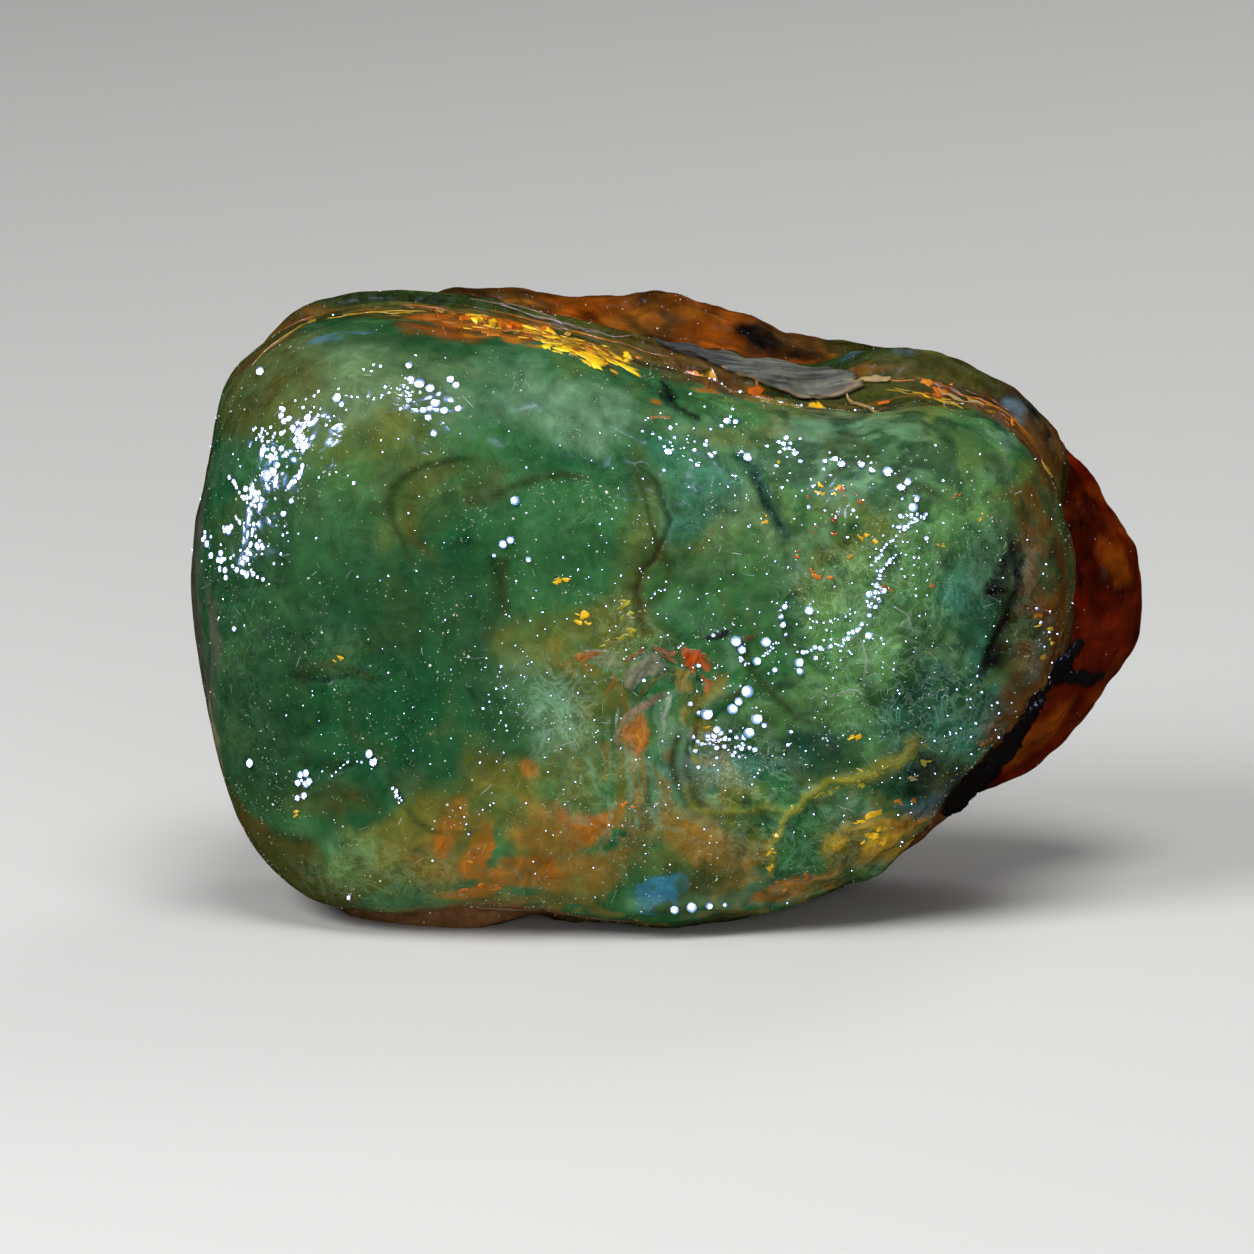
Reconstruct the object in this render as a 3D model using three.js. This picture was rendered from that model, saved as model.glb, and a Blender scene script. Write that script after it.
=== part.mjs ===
// A lump of rough amber with the pieces of fossil wood that are stuck to it. Millimetres, +Z up.
// The lump lies on its long lower edge. -Y is its broad front face, and the origin is under its middle.
import * as THREE from "three";
import { mergeVertices } from "three/addons/utils/BufferGeometryUtils.js";

// Driving dimensions
const DEPTH = 32; // from the front face to the back
const AXIS_HEIGHT = 20.5; // of the line, along Y, that every outline goes round
const GAP = 0.3; // between the lump and each piece stuck to it
const AROUND = 76; // facets round the lump
const FRONT_ROWS = 17; // rows of facets over the front lobe
const FLOW_ROWS = 5; // rows over the flow layer
const SLAB_ROWS = 4; // rows from the flow layer to the back slab's rim
const BACK_ROWS = 11; // rows over the back
const HOLLOW_FADE = 8; // a hollow gets shallower where the skin is nearer than this to the plane y = 0
const SKIN_STEP = 0.004; // either way along the skin, to find which way it faces
const ROUTE_STEP = 0.02; // either way along a sliver, as a share of its length, to find its direction

// How far along the surface, from 0 at the middle of the front to 1 at the middle of the back, each rim lies.
const LOBE_RIM = 0.5;
const FLOW_RIM = 0.63;
const SLAB_RIM = 0.75;
const FRONT_SQUARENESS = 3.1; // 2 is an ellipse in section, and more has a flatter face and fuller shoulders
const BACK_SQUARENESS = 2.6;

// The three rims, seen from the front as [x, z]: what lies under z = 0 is flattened to the resting face.
const LOBE_OUTLINE = [
  [27.6, 24], [26.6, 28], [25, 31], [22, 34], [17.5, 35.2], [12.3, 34.7], [5.5, 35.5], [-1.3, 37.2],
  [-8.3, 39.3], [-13.7, 39.9], [-19, 40.4], [-24, 39.7], [-27.5, 37.7], [-29.8, 35], [-31, 30], [-32.2, 22],
  [-31.7, 15.5], [-30.7, 9.8], [-28.8, 5.2], [-25, 1.9], [-19, 1.4], [-14, 2.1], [-9, 1.5], [-2, 0.6],
  [6, 0.3], [11.5, 1.6], [16.2, 4.7], [20.1, 9.4], [23.7, 14], [26, 18],
];
const FLOW_OUTLINE = [
  [26.3, 24], [26.8, 28], [26.9, 30.3], [26, 32.6], [23.4, 34.7], [19.9, 36.4], [15.8, 37.3], [9, 36.6],
  [0, 37.7], [-7, 39.5], [-15.6, 40.8], [-21.7, 40.6], [-25.1, 39.4], [-28, 36.2], [-29.6, 30], [-30.8, 22],
  [-30.2, 15], [-28.8, 9], [-26.5, 4], [-22, 0.2], [-16, -0.5], [-9.8, 0.6], [-6, -0.2], [6, -0.4],
  [12.5, 1.2], [18, 4.8], [23.2, 10], [26.3, 15.5], [27, 20],
];
const SLAB_OUTLINE = [
  [32, 21.5], [31.2, 24], [30.3, 25.6], [29.2, 27.6], [27, 30], [24, 32.5], [20, 35.1], [14.5, 36.6],
  [9, 37.2], [5.5, 38.6], [1, 39.8], [-5, 40.2], [-15.6, 40.1], [-22, 38.3], [-27, 35], [-29, 29],
  [-29.8, 22], [-29, 15], [-27, 8.5], [-22.5, 3], [-17, -0.4], [6, -0.4], [14, 3], [20, 5.6],
  [24.3, 7.2], [27, 9.4], [29.6, 12.6], [31.4, 15.6], [32.2, 18.6],
];
// Round the lump, as [degrees from +X, lobe rim's y, flow rim's y, slab rim's y, groove 1, groove 2]: groove 1 is
// how deep the groove between lobe and flow layer is, and groove 2 the one between flow layer and slab.
const RIMS = [
  [0, -3, 0, 7, 0.3, 0.1], [30, -3, 3.5, 8, 0.9, 0.6], [45, -3, 4.6, 8.5, 1, 0.4], [60, -3.2, 2.2, 8, 1.1, 0.7],
  [75, -3.2, 1, 8, 1.1, 0.9], [90, -3, 1.5, 8, 0.9, 0.8], [110, -1.5, 2.6, 8, 0.7, 0.5],
  [130, 1.3, 5, 9, 0.6, 0.5], [150, 0.5, 4.8, 9, 0.6, 0.7], [180, -1, 4, 8.5, 0.7, 0.8],
  [210, -2, 3, 8, 0.8, 0.8], [226, -9, -7, 6, 0.5, 0.4], [236, -11, -9.2, 5, 0.3, 0],
  [245, -10, -7.6, 5, 0.4, 0], [254, -9.6, -7.8, 5, 0.3, 0], [264, -8.4, -6.4, 5, 0.4, 0],
  [276, -6, -4, 5, 0.2, 0], [290, -5, -2, 5, 0.3, 0], [304, -4, 0, 5.5, 0.4, 0],
  [318, -3.5, -0.5, 6, 0.3, 0],
  [340, -3, -0.5, 6.5, 0.2, 0],
];
// Hollows pressed into the lump, as [x, z, radius, depth, face]: face is -1 for the front and 1 for the back.
const HOLLOWS = [
  [-12, 26, 6.5, 0.9, -1], [-6.5, 21, 5, 0.6, -1], [-1, 15.5, 5.5, 0.8, -1], [8, 25, 7, 0.7, -1],
  [17, 11.6, 2.2, 1.5, -1], [4, 10, 4.5, 0.8, -1], [-22, 12, 5, 0.5, -1], [23, 21, 3, 0.8, -1],
  [-14, 27, 11, 2.2, 1], [9, 17, 12, 2.6, 1], [-17, 9, 7, 1.3, 1], [22, 15, 6, 1.2, 1],
];

// A smooth closed curve through values given at angles (radians): a cubic between each two.
function ring(angles, values) {
  const order = angles.map((angle, i) => [angle, values[i]]).sort((a, b) => a[0] - b[0]);
  const count = order.length;
  const at = (i) => order[((i % count) + count) % count];
  const turn = (from, to) => THREE.MathUtils.euclideanModulo(to - from, 2 * Math.PI);
  const slope = (i) => (at(i + 1)[1] - at(i - 1)[1]) / turn(at(i - 1)[0], at(i + 1)[0]);
  return (angle) => {
    const a = THREE.MathUtils.euclideanModulo(angle, 2 * Math.PI);
    let i = order.findLastIndex((point) => point[0] <= a);
    if (i < 0) i = count - 1;
    const span = turn(at(i)[0], at(i + 1)[0]);
    const s = turn(at(i)[0], a) / span;
    return (
      (2 * s ** 3 - 3 * s ** 2 + 1) * at(i)[1] +
      (s ** 3 - 2 * s ** 2 + s) * slope(i) * span +
      (3 * s ** 2 - 2 * s ** 3) * at(i + 1)[1] +
      (s ** 3 - s ** 2) * slope(i + 1) * span
    );
  };
}

function outlineRadius(outline) {
  const angle = ([x, z]) => THREE.MathUtils.euclideanModulo(Math.atan2(z - AXIS_HEIGHT, x), 2 * Math.PI);
  return ring(
    outline.map(angle),
    outline.map(([x, z]) => Math.hypot(x, z - AXIS_HEIGHT)),
  );
}

function rimValue(column) {
  return ring(
    RIMS.map((row) => THREE.MathUtils.degToRad(row[0])),
    RIMS.map((row) => row[column]),
  );
}

const lobeRadius = outlineRadius(LOBE_OUTLINE);
const flowRadius = outlineRadius(FLOW_OUTLINE);
const slabRadius = outlineRadius(SLAB_OUTLINE);
const lobeDepth = rimValue(1);
const flowDepth = rimValue(2);
const slabDepth = rimValue(3);
const groove1 = rimValue(4);
const groove2 = rimValue(5);

// A point of the lump's skin: turn goes round the Y axis from +X, and along goes from front to back.
// The front lobe and the back are superellipse caps on their rims, with a groove between neighbouring rims.
function skin(turn, along) {
  const [r1, r2, r3] = [lobeRadius(turn), flowRadius(turn), slabRadius(turn)];
  const [y1, y2, y3] = [lobeDepth(turn), flowDepth(turn), slabDepth(turn)];
  let r;
  let y;
  if (along <= LOBE_RIM) {
    const f = ((along / LOBE_RIM) * Math.PI) / 2;
    r = r1 * Math.sin(f) ** (2 / FRONT_SQUARENESS);
    y = y1 - (DEPTH / 2 + y1) * Math.max(Math.cos(f), 0) ** (2 / FRONT_SQUARENESS);
  } else if (along <= FLOW_RIM) {
    const s = (along - LOBE_RIM) / (FLOW_RIM - LOBE_RIM);
    r = THREE.MathUtils.lerp(r1, r2, s * s * (3 - 2 * s)) - groove1(turn) * Math.sin(Math.PI * s) ** 2;
    y = THREE.MathUtils.lerp(y1, y2, s);
  } else if (along <= SLAB_RIM) {
    const s = (along - FLOW_RIM) / (SLAB_RIM - FLOW_RIM);
    r = THREE.MathUtils.lerp(r2, r3, s * s * (3 - 2 * s)) - groove2(turn) * Math.sin(Math.PI * s) ** 2;
    y = THREE.MathUtils.lerp(y2, y3, s);
  } else {
    const f = (((along - SLAB_RIM) / (1 - SLAB_RIM)) * Math.PI) / 2;
    r = r3 * Math.max(Math.cos(f), 0) ** (2 / BACK_SQUARENESS);
    y = y3 + (DEPTH / 2 - y3) * Math.sin(f) ** (2 / BACK_SQUARENESS);
  }
  const x = r * Math.cos(turn);
  const z = AXIS_HEIGHT + r * Math.sin(turn);
  for (const [hx, hz, radius, depth, face] of HOLLOWS) {
    const near = Math.exp(-((x - hx) ** 2 + (z - hz) ** 2) / radius ** 2);
    if (face * y > 0) y -= face * depth * near * Math.min(1, (face * y) / HOLLOW_FADE);
  }
  return new THREE.Vector3(x, y, Math.max(z, 0));
}

// The outward direction at a point of the skin.
function outward(turn, along) {
  const round = skin(turn + SKIN_STEP, along).sub(skin(turn - SKIN_STEP, along));
  const back = skin(turn, along + SKIN_STEP).sub(skin(turn, along - SKIN_STEP));
  return back.cross(round).normalize();
}

function meshOf(name, points, triangles, material) {
  const geometry = new THREE.BufferGeometry();
  geometry.setAttribute("position", new THREE.Float32BufferAttribute(points.flatMap((p) => p.toArray()), 3));
  geometry.setIndex(triangles);
  const closed = mergeVertices(geometry, 1e-4);
  closed.computeVertexNormals();
  const mesh = new THREE.Mesh(closed, material);
  mesh.name = name;
  return mesh;
}

// The triangles between rows of points that each close on themselves, with a point at either end.
function closedRows(rows, first, last) {
  const count = rows[0].length;
  const points = [first, ...rows.flat(), last];
  const triangles = [];
  const at = (row, i) => 1 + row * count + (i % count);
  for (let i = 0; i < count; i++) {
    triangles.push(0, at(0, i), at(0, i + 1));
    for (let row = 0; row + 1 < rows.length; row++) {
      triangles.push(at(row, i), at(row + 1, i + 1), at(row, i + 1));
      triangles.push(at(row, i), at(row + 1, i), at(row + 1, i + 1));
    }
    triangles.push(points.length - 1, at(rows.length - 1, i + 1), at(rows.length - 1, i));
  }
  return [points, triangles];
}

function amberLump() {
  const levels = [];
  const fill = (from, to, count) => {
    for (let i = 1; i <= count; i++) levels.push(THREE.MathUtils.lerp(from, to, i / count));
  };
  fill(0, LOBE_RIM, FRONT_ROWS);
  fill(LOBE_RIM, FLOW_RIM, FLOW_ROWS);
  fill(FLOW_RIM, SLAB_RIM, SLAB_ROWS);
  fill(SLAB_RIM, 1, BACK_ROWS);
  levels.pop();
  const rows = levels.map((along) =>
    Array.from({ length: AROUND }, (_, i) => skin((2 * Math.PI * i) / AROUND, along)),
  );
  const material = new THREE.MeshStandardMaterial({ color: 0x2f5a3c, roughness: 0.12, metalness: 0 });
  return meshOf("amber", ...closedRows(rows, skin(0, 0), skin(0, 1)), material);
}

// A sliver that lies along the skin, GAP off it. route is its middle line as [degrees round, along] points, and its
// section is an ellipse. fullness gives how much of its section it has, for each share t of its length.
function sliver(name, { route, width, thickness, steps, sides, fullness }, material) {
  const points = route.map(([turn, along]) => new THREE.Vector3(turn, along * 360, 0)); // like amounts each way
  const path = new THREE.CatmullRomCurve3(points);
  const place = (t) => {
    const { x: degrees, y } = path.getPoint(t);
    const turn = THREE.MathUtils.degToRad(degrees);
    return [skin(turn, y / 360), outward(turn, y / 360)];
  };
  const rows = [];
  const ends = [];
  for (let k = 0; k <= steps; k++) {
    const t = k / steps;
    const [point, up] = place(t);
    const before = place(Math.max(0, t - ROUTE_STEP))[0];
    const ahead = place(Math.min(1, t + ROUTE_STEP))[0].sub(before).normalize();
    const side = new THREE.Vector3().crossVectors(ahead, up).normalize();
    const middle = point.clone().addScaledVector(up, GAP + thickness / 2);
    if (k === 0 || k === steps) ends.push(middle.clone().addScaledVector(ahead, k === 0 ? -GAP : GAP));
    rows.push(
      Array.from({ length: sides }, (_, i) => {
        const angle = (2 * Math.PI * i) / sides;
        return middle
          .clone()
          .addScaledVector(side, (Math.cos(angle) * width * fullness(t)) / 2)
          .addScaledVector(up, (Math.sin(angle) * thickness * fullness(t)) / 2);
      }),
    );
  }
  return meshOf(name, ...closedRows(rows, ends[0], ends[1]), material);
}

// How full a sliver's section is: broken tapers over the first share of its length and stays full to its broken
// end, and fibre is full in the middle and half as thick at both ends.
const broken = (share) => (t) => 0.2 + 0.8 * Math.min(1, t / share) ** 0.8;
const fibre = (t) => 0.5 + 0.5 * Math.sin(Math.PI * t);

const BARK = {
  route: [[93, 0.647], [79, 0.617], [62, 0.597], [51, 0.584]],
  width: 2.6,
  thickness: 0.8,
  steps: 14,
  sides: 8,
  fullness: broken(0.45),
};
const LIGNITE = {
  route: [[-36, 0.59], [-25, 0.608], [-15, 0.63], [-6.5, 0.668]],
  width: 2,
  thickness: 0.8,
  steps: 14,
  sides: 8,
  fullness: broken(0.5),
};
const STRAW = { width: 0.55, thickness: 0.4, steps: 4, sides: 6, fullness: fibre };
const STRAW_ROUTES = [
  [[48, 0.576], [44.5, 0.566]],
  [[49.5, 0.545], [45.8, 0.49]],
  [[37.8, 0.54], [35.1, 0.505]],
];

const bark = new THREE.MeshStandardMaterial({ color: 0x6a6965, roughness: 0.75, metalness: 0 });
const lignite = new THREE.MeshStandardMaterial({ color: 0x15171a, roughness: 0.25, metalness: 0 });
const straw = new THREE.MeshStandardMaterial({ color: 0xb89a68, roughness: 0.6, metalness: 0 });

const rough_amber = new THREE.Group();
rough_amber.name = "rough_amber";
rough_amber.add(amberLump());
rough_amber.add(sliver("bark_splinter", BARK, bark));
rough_amber.add(sliver("lignite_seam", LIGNITE, lignite));
STRAW_ROUTES.forEach((route, i) => {
  rough_amber.add(sliver(`straw_sliver_${i + 1}`, { ...STRAW, route }, straw));
});

export default rough_amber;
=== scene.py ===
import math

import bpy
import numpy as np
from bpy.props import FloatProperty, FloatVectorProperty, IntProperty, PointerProperty
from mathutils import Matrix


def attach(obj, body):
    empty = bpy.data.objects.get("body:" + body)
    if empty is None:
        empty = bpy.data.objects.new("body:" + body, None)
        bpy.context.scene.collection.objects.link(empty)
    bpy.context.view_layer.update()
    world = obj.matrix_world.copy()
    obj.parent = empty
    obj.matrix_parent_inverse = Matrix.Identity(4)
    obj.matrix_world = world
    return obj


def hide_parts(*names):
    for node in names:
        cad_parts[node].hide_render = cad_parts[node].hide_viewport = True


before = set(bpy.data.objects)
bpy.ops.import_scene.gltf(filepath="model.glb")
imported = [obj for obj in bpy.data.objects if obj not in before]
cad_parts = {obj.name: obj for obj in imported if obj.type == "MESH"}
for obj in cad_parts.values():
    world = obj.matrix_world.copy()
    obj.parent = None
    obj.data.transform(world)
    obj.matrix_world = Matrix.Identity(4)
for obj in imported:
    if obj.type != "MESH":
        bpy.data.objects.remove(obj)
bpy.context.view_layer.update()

bl_info = {
    "name": "Rough amber",
    "version": (1, 0, 0),
    "blender": (4, 5, 0),
    "location": "3D View > Sidebar > Amber",
    "description": "A lump of rough green amber with its fossil wood, flakes and dust",
    "category": "Object",
}

MM = 0.001
TURN = 2 * math.pi
# A noise looks its values up in a table of this size, by a key for each axis of its lattice. Its octaves are
# moved along by a shift, so that their lattices don't meet, and a gain brings it back to about -1 to 1.
TABLE_SIZE = 4096
OCTAVE_SHIFT, NOISE_GAIN = 17.3, 1.6
LATTICE_KEYS = np.array([73856093, 19349663, 83492791])

# The lump goes round a line along Y at this height, in millimetres as every number of its shape is.
AXIS_HEIGHT = 20.5
DEPTH = 32.0
# Shares of the way from the middle of the front to the middle of the back. The lump is split in two
# behind the flow layer, so that the back slab can be of clearer amber.
LOBE_RIM, FLOW_RIM, SPLIT, SLAB_RIM = 0.5, 0.63, 0.66, 0.75
# 2 is an ellipse in section, and more has a flatter face and fuller shoulders.
FRONT_SQUARENESS, BACK_SQUARENESS = 3.1, 2.6
# A hollow gets shallower where the skin is nearer than this to the plane y = 0.
HOLLOW_FADE = 8.0
# A small step over the skin, in radians round the lump or as a share of the way back.
STEP = 1e-3
# How far apart in a noise's lattice the slivers, flakes and folds of one kind are, so that no two are alike.
STRAND_GAP, FLAKE_GAP, FOLD_GAP = 9.1, 11.3, 5.7
# Films and their folds are laid just under the skin, so that only their middles stand out of it.
FILM_LIFT = -0.012
# The viewer's degrees above the horizon, the point that the camera aims at, and the width of its view there
# and of its sensor.
VIEW_ELEVATION = 12
AIM = (-2.86, 0.0, 18.65)
VIEW_WIDTH, SENSOR = 85.3, 36
# How a bead's cap compares in width with the glint on it, its slope at the rim, and how far it leans by
# chance.
BEAD_SPREAD, BEAD_SLOPE, BEAD_LEAN = 1.08, 0.038, 0.007
# How fast the golden flash climbs towards the back, in shares a degree, and its two halves: degrees from +X,
# share of the way back, half width in degrees and in shares, and the colours of its ground and of its
# brightest parts.
FLASH_SLANT = 0.001
FLASHES = ((120, 0.49, 11, 0.06, "olive_brown", "orange"), (109.5, 0.482, 9, 0.07, "dark_olive", "gold"))

# Lamps: name, degrees to the right of the front, degrees up, distance and width in metres, and watts. The
# softboxes light the whole lump, and the small bright sparks only make the glints. Each spark has a halo,
# a wider and weaker blue lamp round it.
SOFTBOXES = [
    ("key softbox", -50, 38, 0.6, 0.30, 3.0), ("top softbox", 15, 72, 0.6, 0.30, 2.4),
    ("fill softbox", 10, 8, 0.7, 0.30, 1.8), ("back softbox", 150, 35, 0.6, 0.25, 0.8),
]
SPARKS = [
    ("left spark", -56, 32, 0.7, 0.07, 1.4), ("low left spark", -66, 12, 0.7, 0.06, 1.0),
    ("side spark", -82, 4, 0.7, 0.06, 1.0), ("top spark", -12, 66, 0.7, 0.06, 1.0),
    ("right spark", 30, 55, 0.7, 0.06, 1.0), ("high front spark", 10, 33, 0.8, 0.06, 1.1),
]
HALO_DISTANCE, HALO_WIDTH, HALO_POWER = 1.02, 2.2, 0.6
# The front's amber, which the beads and films on it are of too.
FRONT_AMBER = "worn wet green amber"

# The three rims, seen from the front as (x, z).
LOBE_OUTLINE = [
    (27.6, 24), (26.6, 28), (25, 31), (22, 34), (17.5, 35.2), (12.3, 34.7), (5.5, 35.5), (-1.3, 37.2),
    (-8.3, 39.3), (-13.7, 39.9), (-19, 40.4), (-24, 39.7), (-27.5, 37.7), (-29.8, 35), (-31, 30),
    (-32.2, 22), (-31.7, 15.5), (-30.7, 9.8), (-28.8, 5.2), (-25, 1.9), (-19, 1.4), (-14, 2.1), (-9, 1.5),
    (-2, 0.6), (6, 0.3), (11.5, 1.6), (16.2, 4.7), (20.1, 9.4), (23.7, 14), (26, 18),
]
FLOW_OUTLINE = [
    (26.3, 24), (26.8, 28), (26.9, 30.3), (26, 32.6), (23.4, 34.7), (19.9, 36.4), (15.8, 37.3), (9, 36.6),
    (0, 37.7), (-7, 39.5), (-15.6, 40.8), (-21.7, 40.6), (-25.1, 39.4), (-28, 36.2), (-29.6, 30),
    (-30.8, 22), (-30.2, 15), (-28.8, 9), (-26.5, 4), (-22, 0.2), (-16, -0.5), (-9.8, 0.6), (-6, -0.2),
    (6, -0.4), (12.5, 1.2), (18, 4.8), (23.2, 10), (26.3, 15.5), (27, 20),
]
SLAB_OUTLINE = [
    (32, 21.5), (31.2, 24), (30.3, 25.6), (29.2, 27.6), (27, 30), (24, 32.5), (20, 35.1), (14.5, 36.6),
    (9, 37.2), (5.5, 38.6), (1, 39.8), (-5, 40.2), (-15.6, 40.1), (-22, 38.3), (-27, 35), (-29, 29),
    (-29.8, 22), (-29, 15), (-27, 8.5), (-22.5, 3), (-17, -0.4), (6, -0.4), (14, 3), (20, 5.6), (24.3, 7.2),
    (27, 9.4), (29.6, 12.6), (31.4, 15.6), (32.2, 18.6),
]
# Round the lump: degrees from +X, the y of the lobe's, the flow layer's and the slab's rim, and the depths of
# the grooves in front of and behind the flow layer.
RIMS = [
    (0, -3, 0, 7, 0.3, 0.1), (30, -3, 3.5, 8, 0.9, 0.6), (45, -3, 4.6, 8.5, 1, 0.4),
    (60, -3.2, 2.2, 8, 1.1, 0.7), (75, -3.2, 1, 8, 1.1, 0.9), (90, -3, 1.5, 8, 0.9, 0.8),
    (110, -1.5, 2.6, 8, 0.7, 0.5), (130, 1.3, 5, 9, 0.6, 0.5), (150, 0.5, 4.8, 9, 0.6, 0.7),
    (180, -1, 4, 8.5, 0.7, 0.8), (210, -2, 3, 8, 0.8, 0.8), (226, -9, -7, 6, 0.5, 0.4),
    (236, -11, -9.2, 5, 0.3, 0), (245, -10, -7.6, 5, 0.4, 0), (254, -9.6, -7.8, 5, 0.3, 0),
    (264, -8.4, -6.4, 5, 0.4, 0), (276, -6, -4, 5, 0.2, 0), (290, -5, -2, 5, 0.3, 0),
    (304, -4, 0, 5.5, 0.4, 0), (318, -3.5, -0.5, 6, 0.3, 0), (340, -3, -0.5, 6.5, 0.2, 0),
]
# Broad hollows: x, z, radius, depth, and -1 on the front or 1 on the back.
HOLLOWS = [
    (-12, 26, 6.5, 0.9, -1), (-6.5, 21, 5, 0.6, -1), (-1, 15.5, 5.5, 0.8, -1), (8, 25, 7, 0.7, -1),
    (17, 11.6, 2.2, 1.5, -1), (4, 10, 4.5, 0.8, -1), (-22, 12, 5, 0.5, -1), (23, 21, 3, 0.8, -1),
    (-14, 27, 11, 2.2, 1), (9, 17, 12, 2.6, 1), (-17, 9, 7, 1.3, 1), (22, 15, 6, 1.2, 1),
]
# Shell-like fracture scars on the front: centre x, z, radius, first and last degrees of the sharp rim, depth
# at the rim, and how far the hollow runs in from it.
SCARS = [
    (-13.3, 28.7, 4.8, 85, 225, 0.55, 2.6), (-8.7, 28.7, 3.5, 50, 150, 0.35, 1.8),
    (-6.4, 27.6, 5.9, -55, 60, 0.26, 2.4), (-6.2, 24.0, 5.7, 155, 205, 0.4, 2.2),
    (12.5, 27, 6.0, 20, 130, 0.45, 2.4), (5.5, 12.5, 4.4, 150, 260, 0.5, 2.0),
    (-21, 14.5, 4.2, 60, 150, 0.3, 1.8), (17.5, 21, 5.0, -70, 30, 0.45, 2.2),
    (-14, 13, 5.0, 200, 300, 0.35, 2.4), (9.5, 20, 4.0, 170, 290, 0.4, 1.8),
]
# Cracks, slits, ridges and veins on the front: their (x, z) points, half width, height (less than 0 for a
# cut), colour and how strongly it shows.
LINES = [
    ([(-1.9, 32.5), (-1, 31.7), (-0.7, 30.6), (-0.1, 29.1), (-0.6, 27.3), (-0.9, 26.1), (-1.7, 25.4),
     (-1.9, 24), (-1.7, 21.6)], 0.17, -0.26, "dark", 0.5),
    ([(-12.1, 26.4), (-11.7, 24.5), (-11.8, 20.6)], 0.25, -0.25, "dark", 0.3),
    ([(-25.7, 17.9), (-24, 17.7), (-21.7, 18.2)], 0.2, -0.25, "dark", 0.5),
    ([(-25, 11.8), (-22.9, 11.5), (-21, 12.4)], 0.2, -0.25, "dark", 0.4),
    ([(23.8, 25.8), (22.8, 22.4), (21.3, 19.8), (20.8, 18.3)], 0.3, -0.45, "char", 0.95),
    ([(22.9, 27.6), (23.2, 25.6), (23.6, 24.2)], 0.22, -0.3, "char", 0.8),
    ([(-0.6, 27.3), (-0.9, 26.1), (-1.7, 25.4), (-1.9, 24), (-1.7, 21.6)], 0.42, -0.1, "olive_brown", 0.7),
    ([(4.5, 32.8), (5.1, 32.4), (5.6, 31.5), (6, 30.7), (6.5, 29.6), (7.2, 28.5), (8, 28)], 0.5, -0.4,
     "teal_dark", 0.95),
    ([(5.4, 31.6), (6.3, 29.8), (7.3, 28.3)], 0.25, -0.2, "dark", 0.6),
    ([(-0.3, 36.7), (0.4, 36.3), (1.4, 35.8), (2.0, 35.4)], 0.17, -0.3, "char", 0.95),
    ([(1.9, 15.5), (0.9, 13), (1.6, 10.3), (2.8, 9)], 0.25, -0.25, "dark", 0.4),
    ([(2.8, 15.4), (4.4, 16.5), (5.8, 19.0)], 0.2, -0.2, "dark", 0.4),
    ([(16.4, 13.2), (17.3, 11.8), (16.7, 9.8)], 0.5, -0.6, "dark", 0.6),
    ([(9.9, 32.5), (12, 32.4), (13.7, 32.2), (15.4, 31.7), (16.2, 31), (16, 29.7), (16.5, 28.8)], 0.3, 0.3,
     "pale_green", 0.3),
    ([(14.2, 26.2), (14.3, 24.5), (13.5, 23.1), (13.4, 22), (12.3, 20.7)], 0.25, 0.22, "pale_green", 0.5),
    ([(7.3, 23.4), (7.6, 21.1), (8.2, 19.1)], 0.2, 0.2, "pale_green", 0.4),
    ([(2.4, 16.2), (3.2, 17.2), (4.6, 17.4)], 0.25, 0.2, "pale_green", 0.4),
    ([(-2.6, 2.6), (0.3, 2.7), (2.6, 2.7), (4.6, 2.5)], 0.45, 0.4, "pale_green", 0.3),
    ([(16.4, 13.6), (16.2, 12.6), (15.3, 12.1), (14.2, 11.9), (13.2, 11.2), (12.0, 10.9)], 0.5, 0.4,
     "moss", 0.8),
    ([(12.0, 10.9), (10.9, 10.9), (10.2, 10.2), (9.3, 9.9), (8.7, 9.0)], 0.28, 0.3, "moss", 0.8),
    ([(8.7, 9.0), (7.9, 8.6), (7.5, 7.3), (6.8, 6.6), (7.1, 5.4), (6.9, 4.4)], 0.2, 0.22, "moss", 0.9),
    ([(7.9, 8.8), (6.4, 9.4), (4.9, 9.1), (3.6, 8.9), (1.7, 9.5), (1.0, 11.0)], 0.26, 0.22, "moss", 0.35),
]
# Single small bumps at the right edge: x, z, radius, height.
KNOBS = [
    (24.6, 19.6, 0.9, 0.7), (25.3, 22.8, 0.9, 0.8), (24.4, 17.2, 1.0, 0.7), (25.4, 24.6, 0.7, 0.5),
    (23.2, 15.2, 0.8, 0.55), (25.8, 20.9, 0.6, 0.5), (23.4, 18.4, 0.5, 0.3), (22.9, 24.2, 0.5, 0.3),
    (24.3, 21.4, 0.6, 0.4), (23.9, 22.9, 0.45, 0.35), (24.9, 26.3, 0.8, 0.4), (21.6, 13.2, 0.7, 0.4),
]
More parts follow.
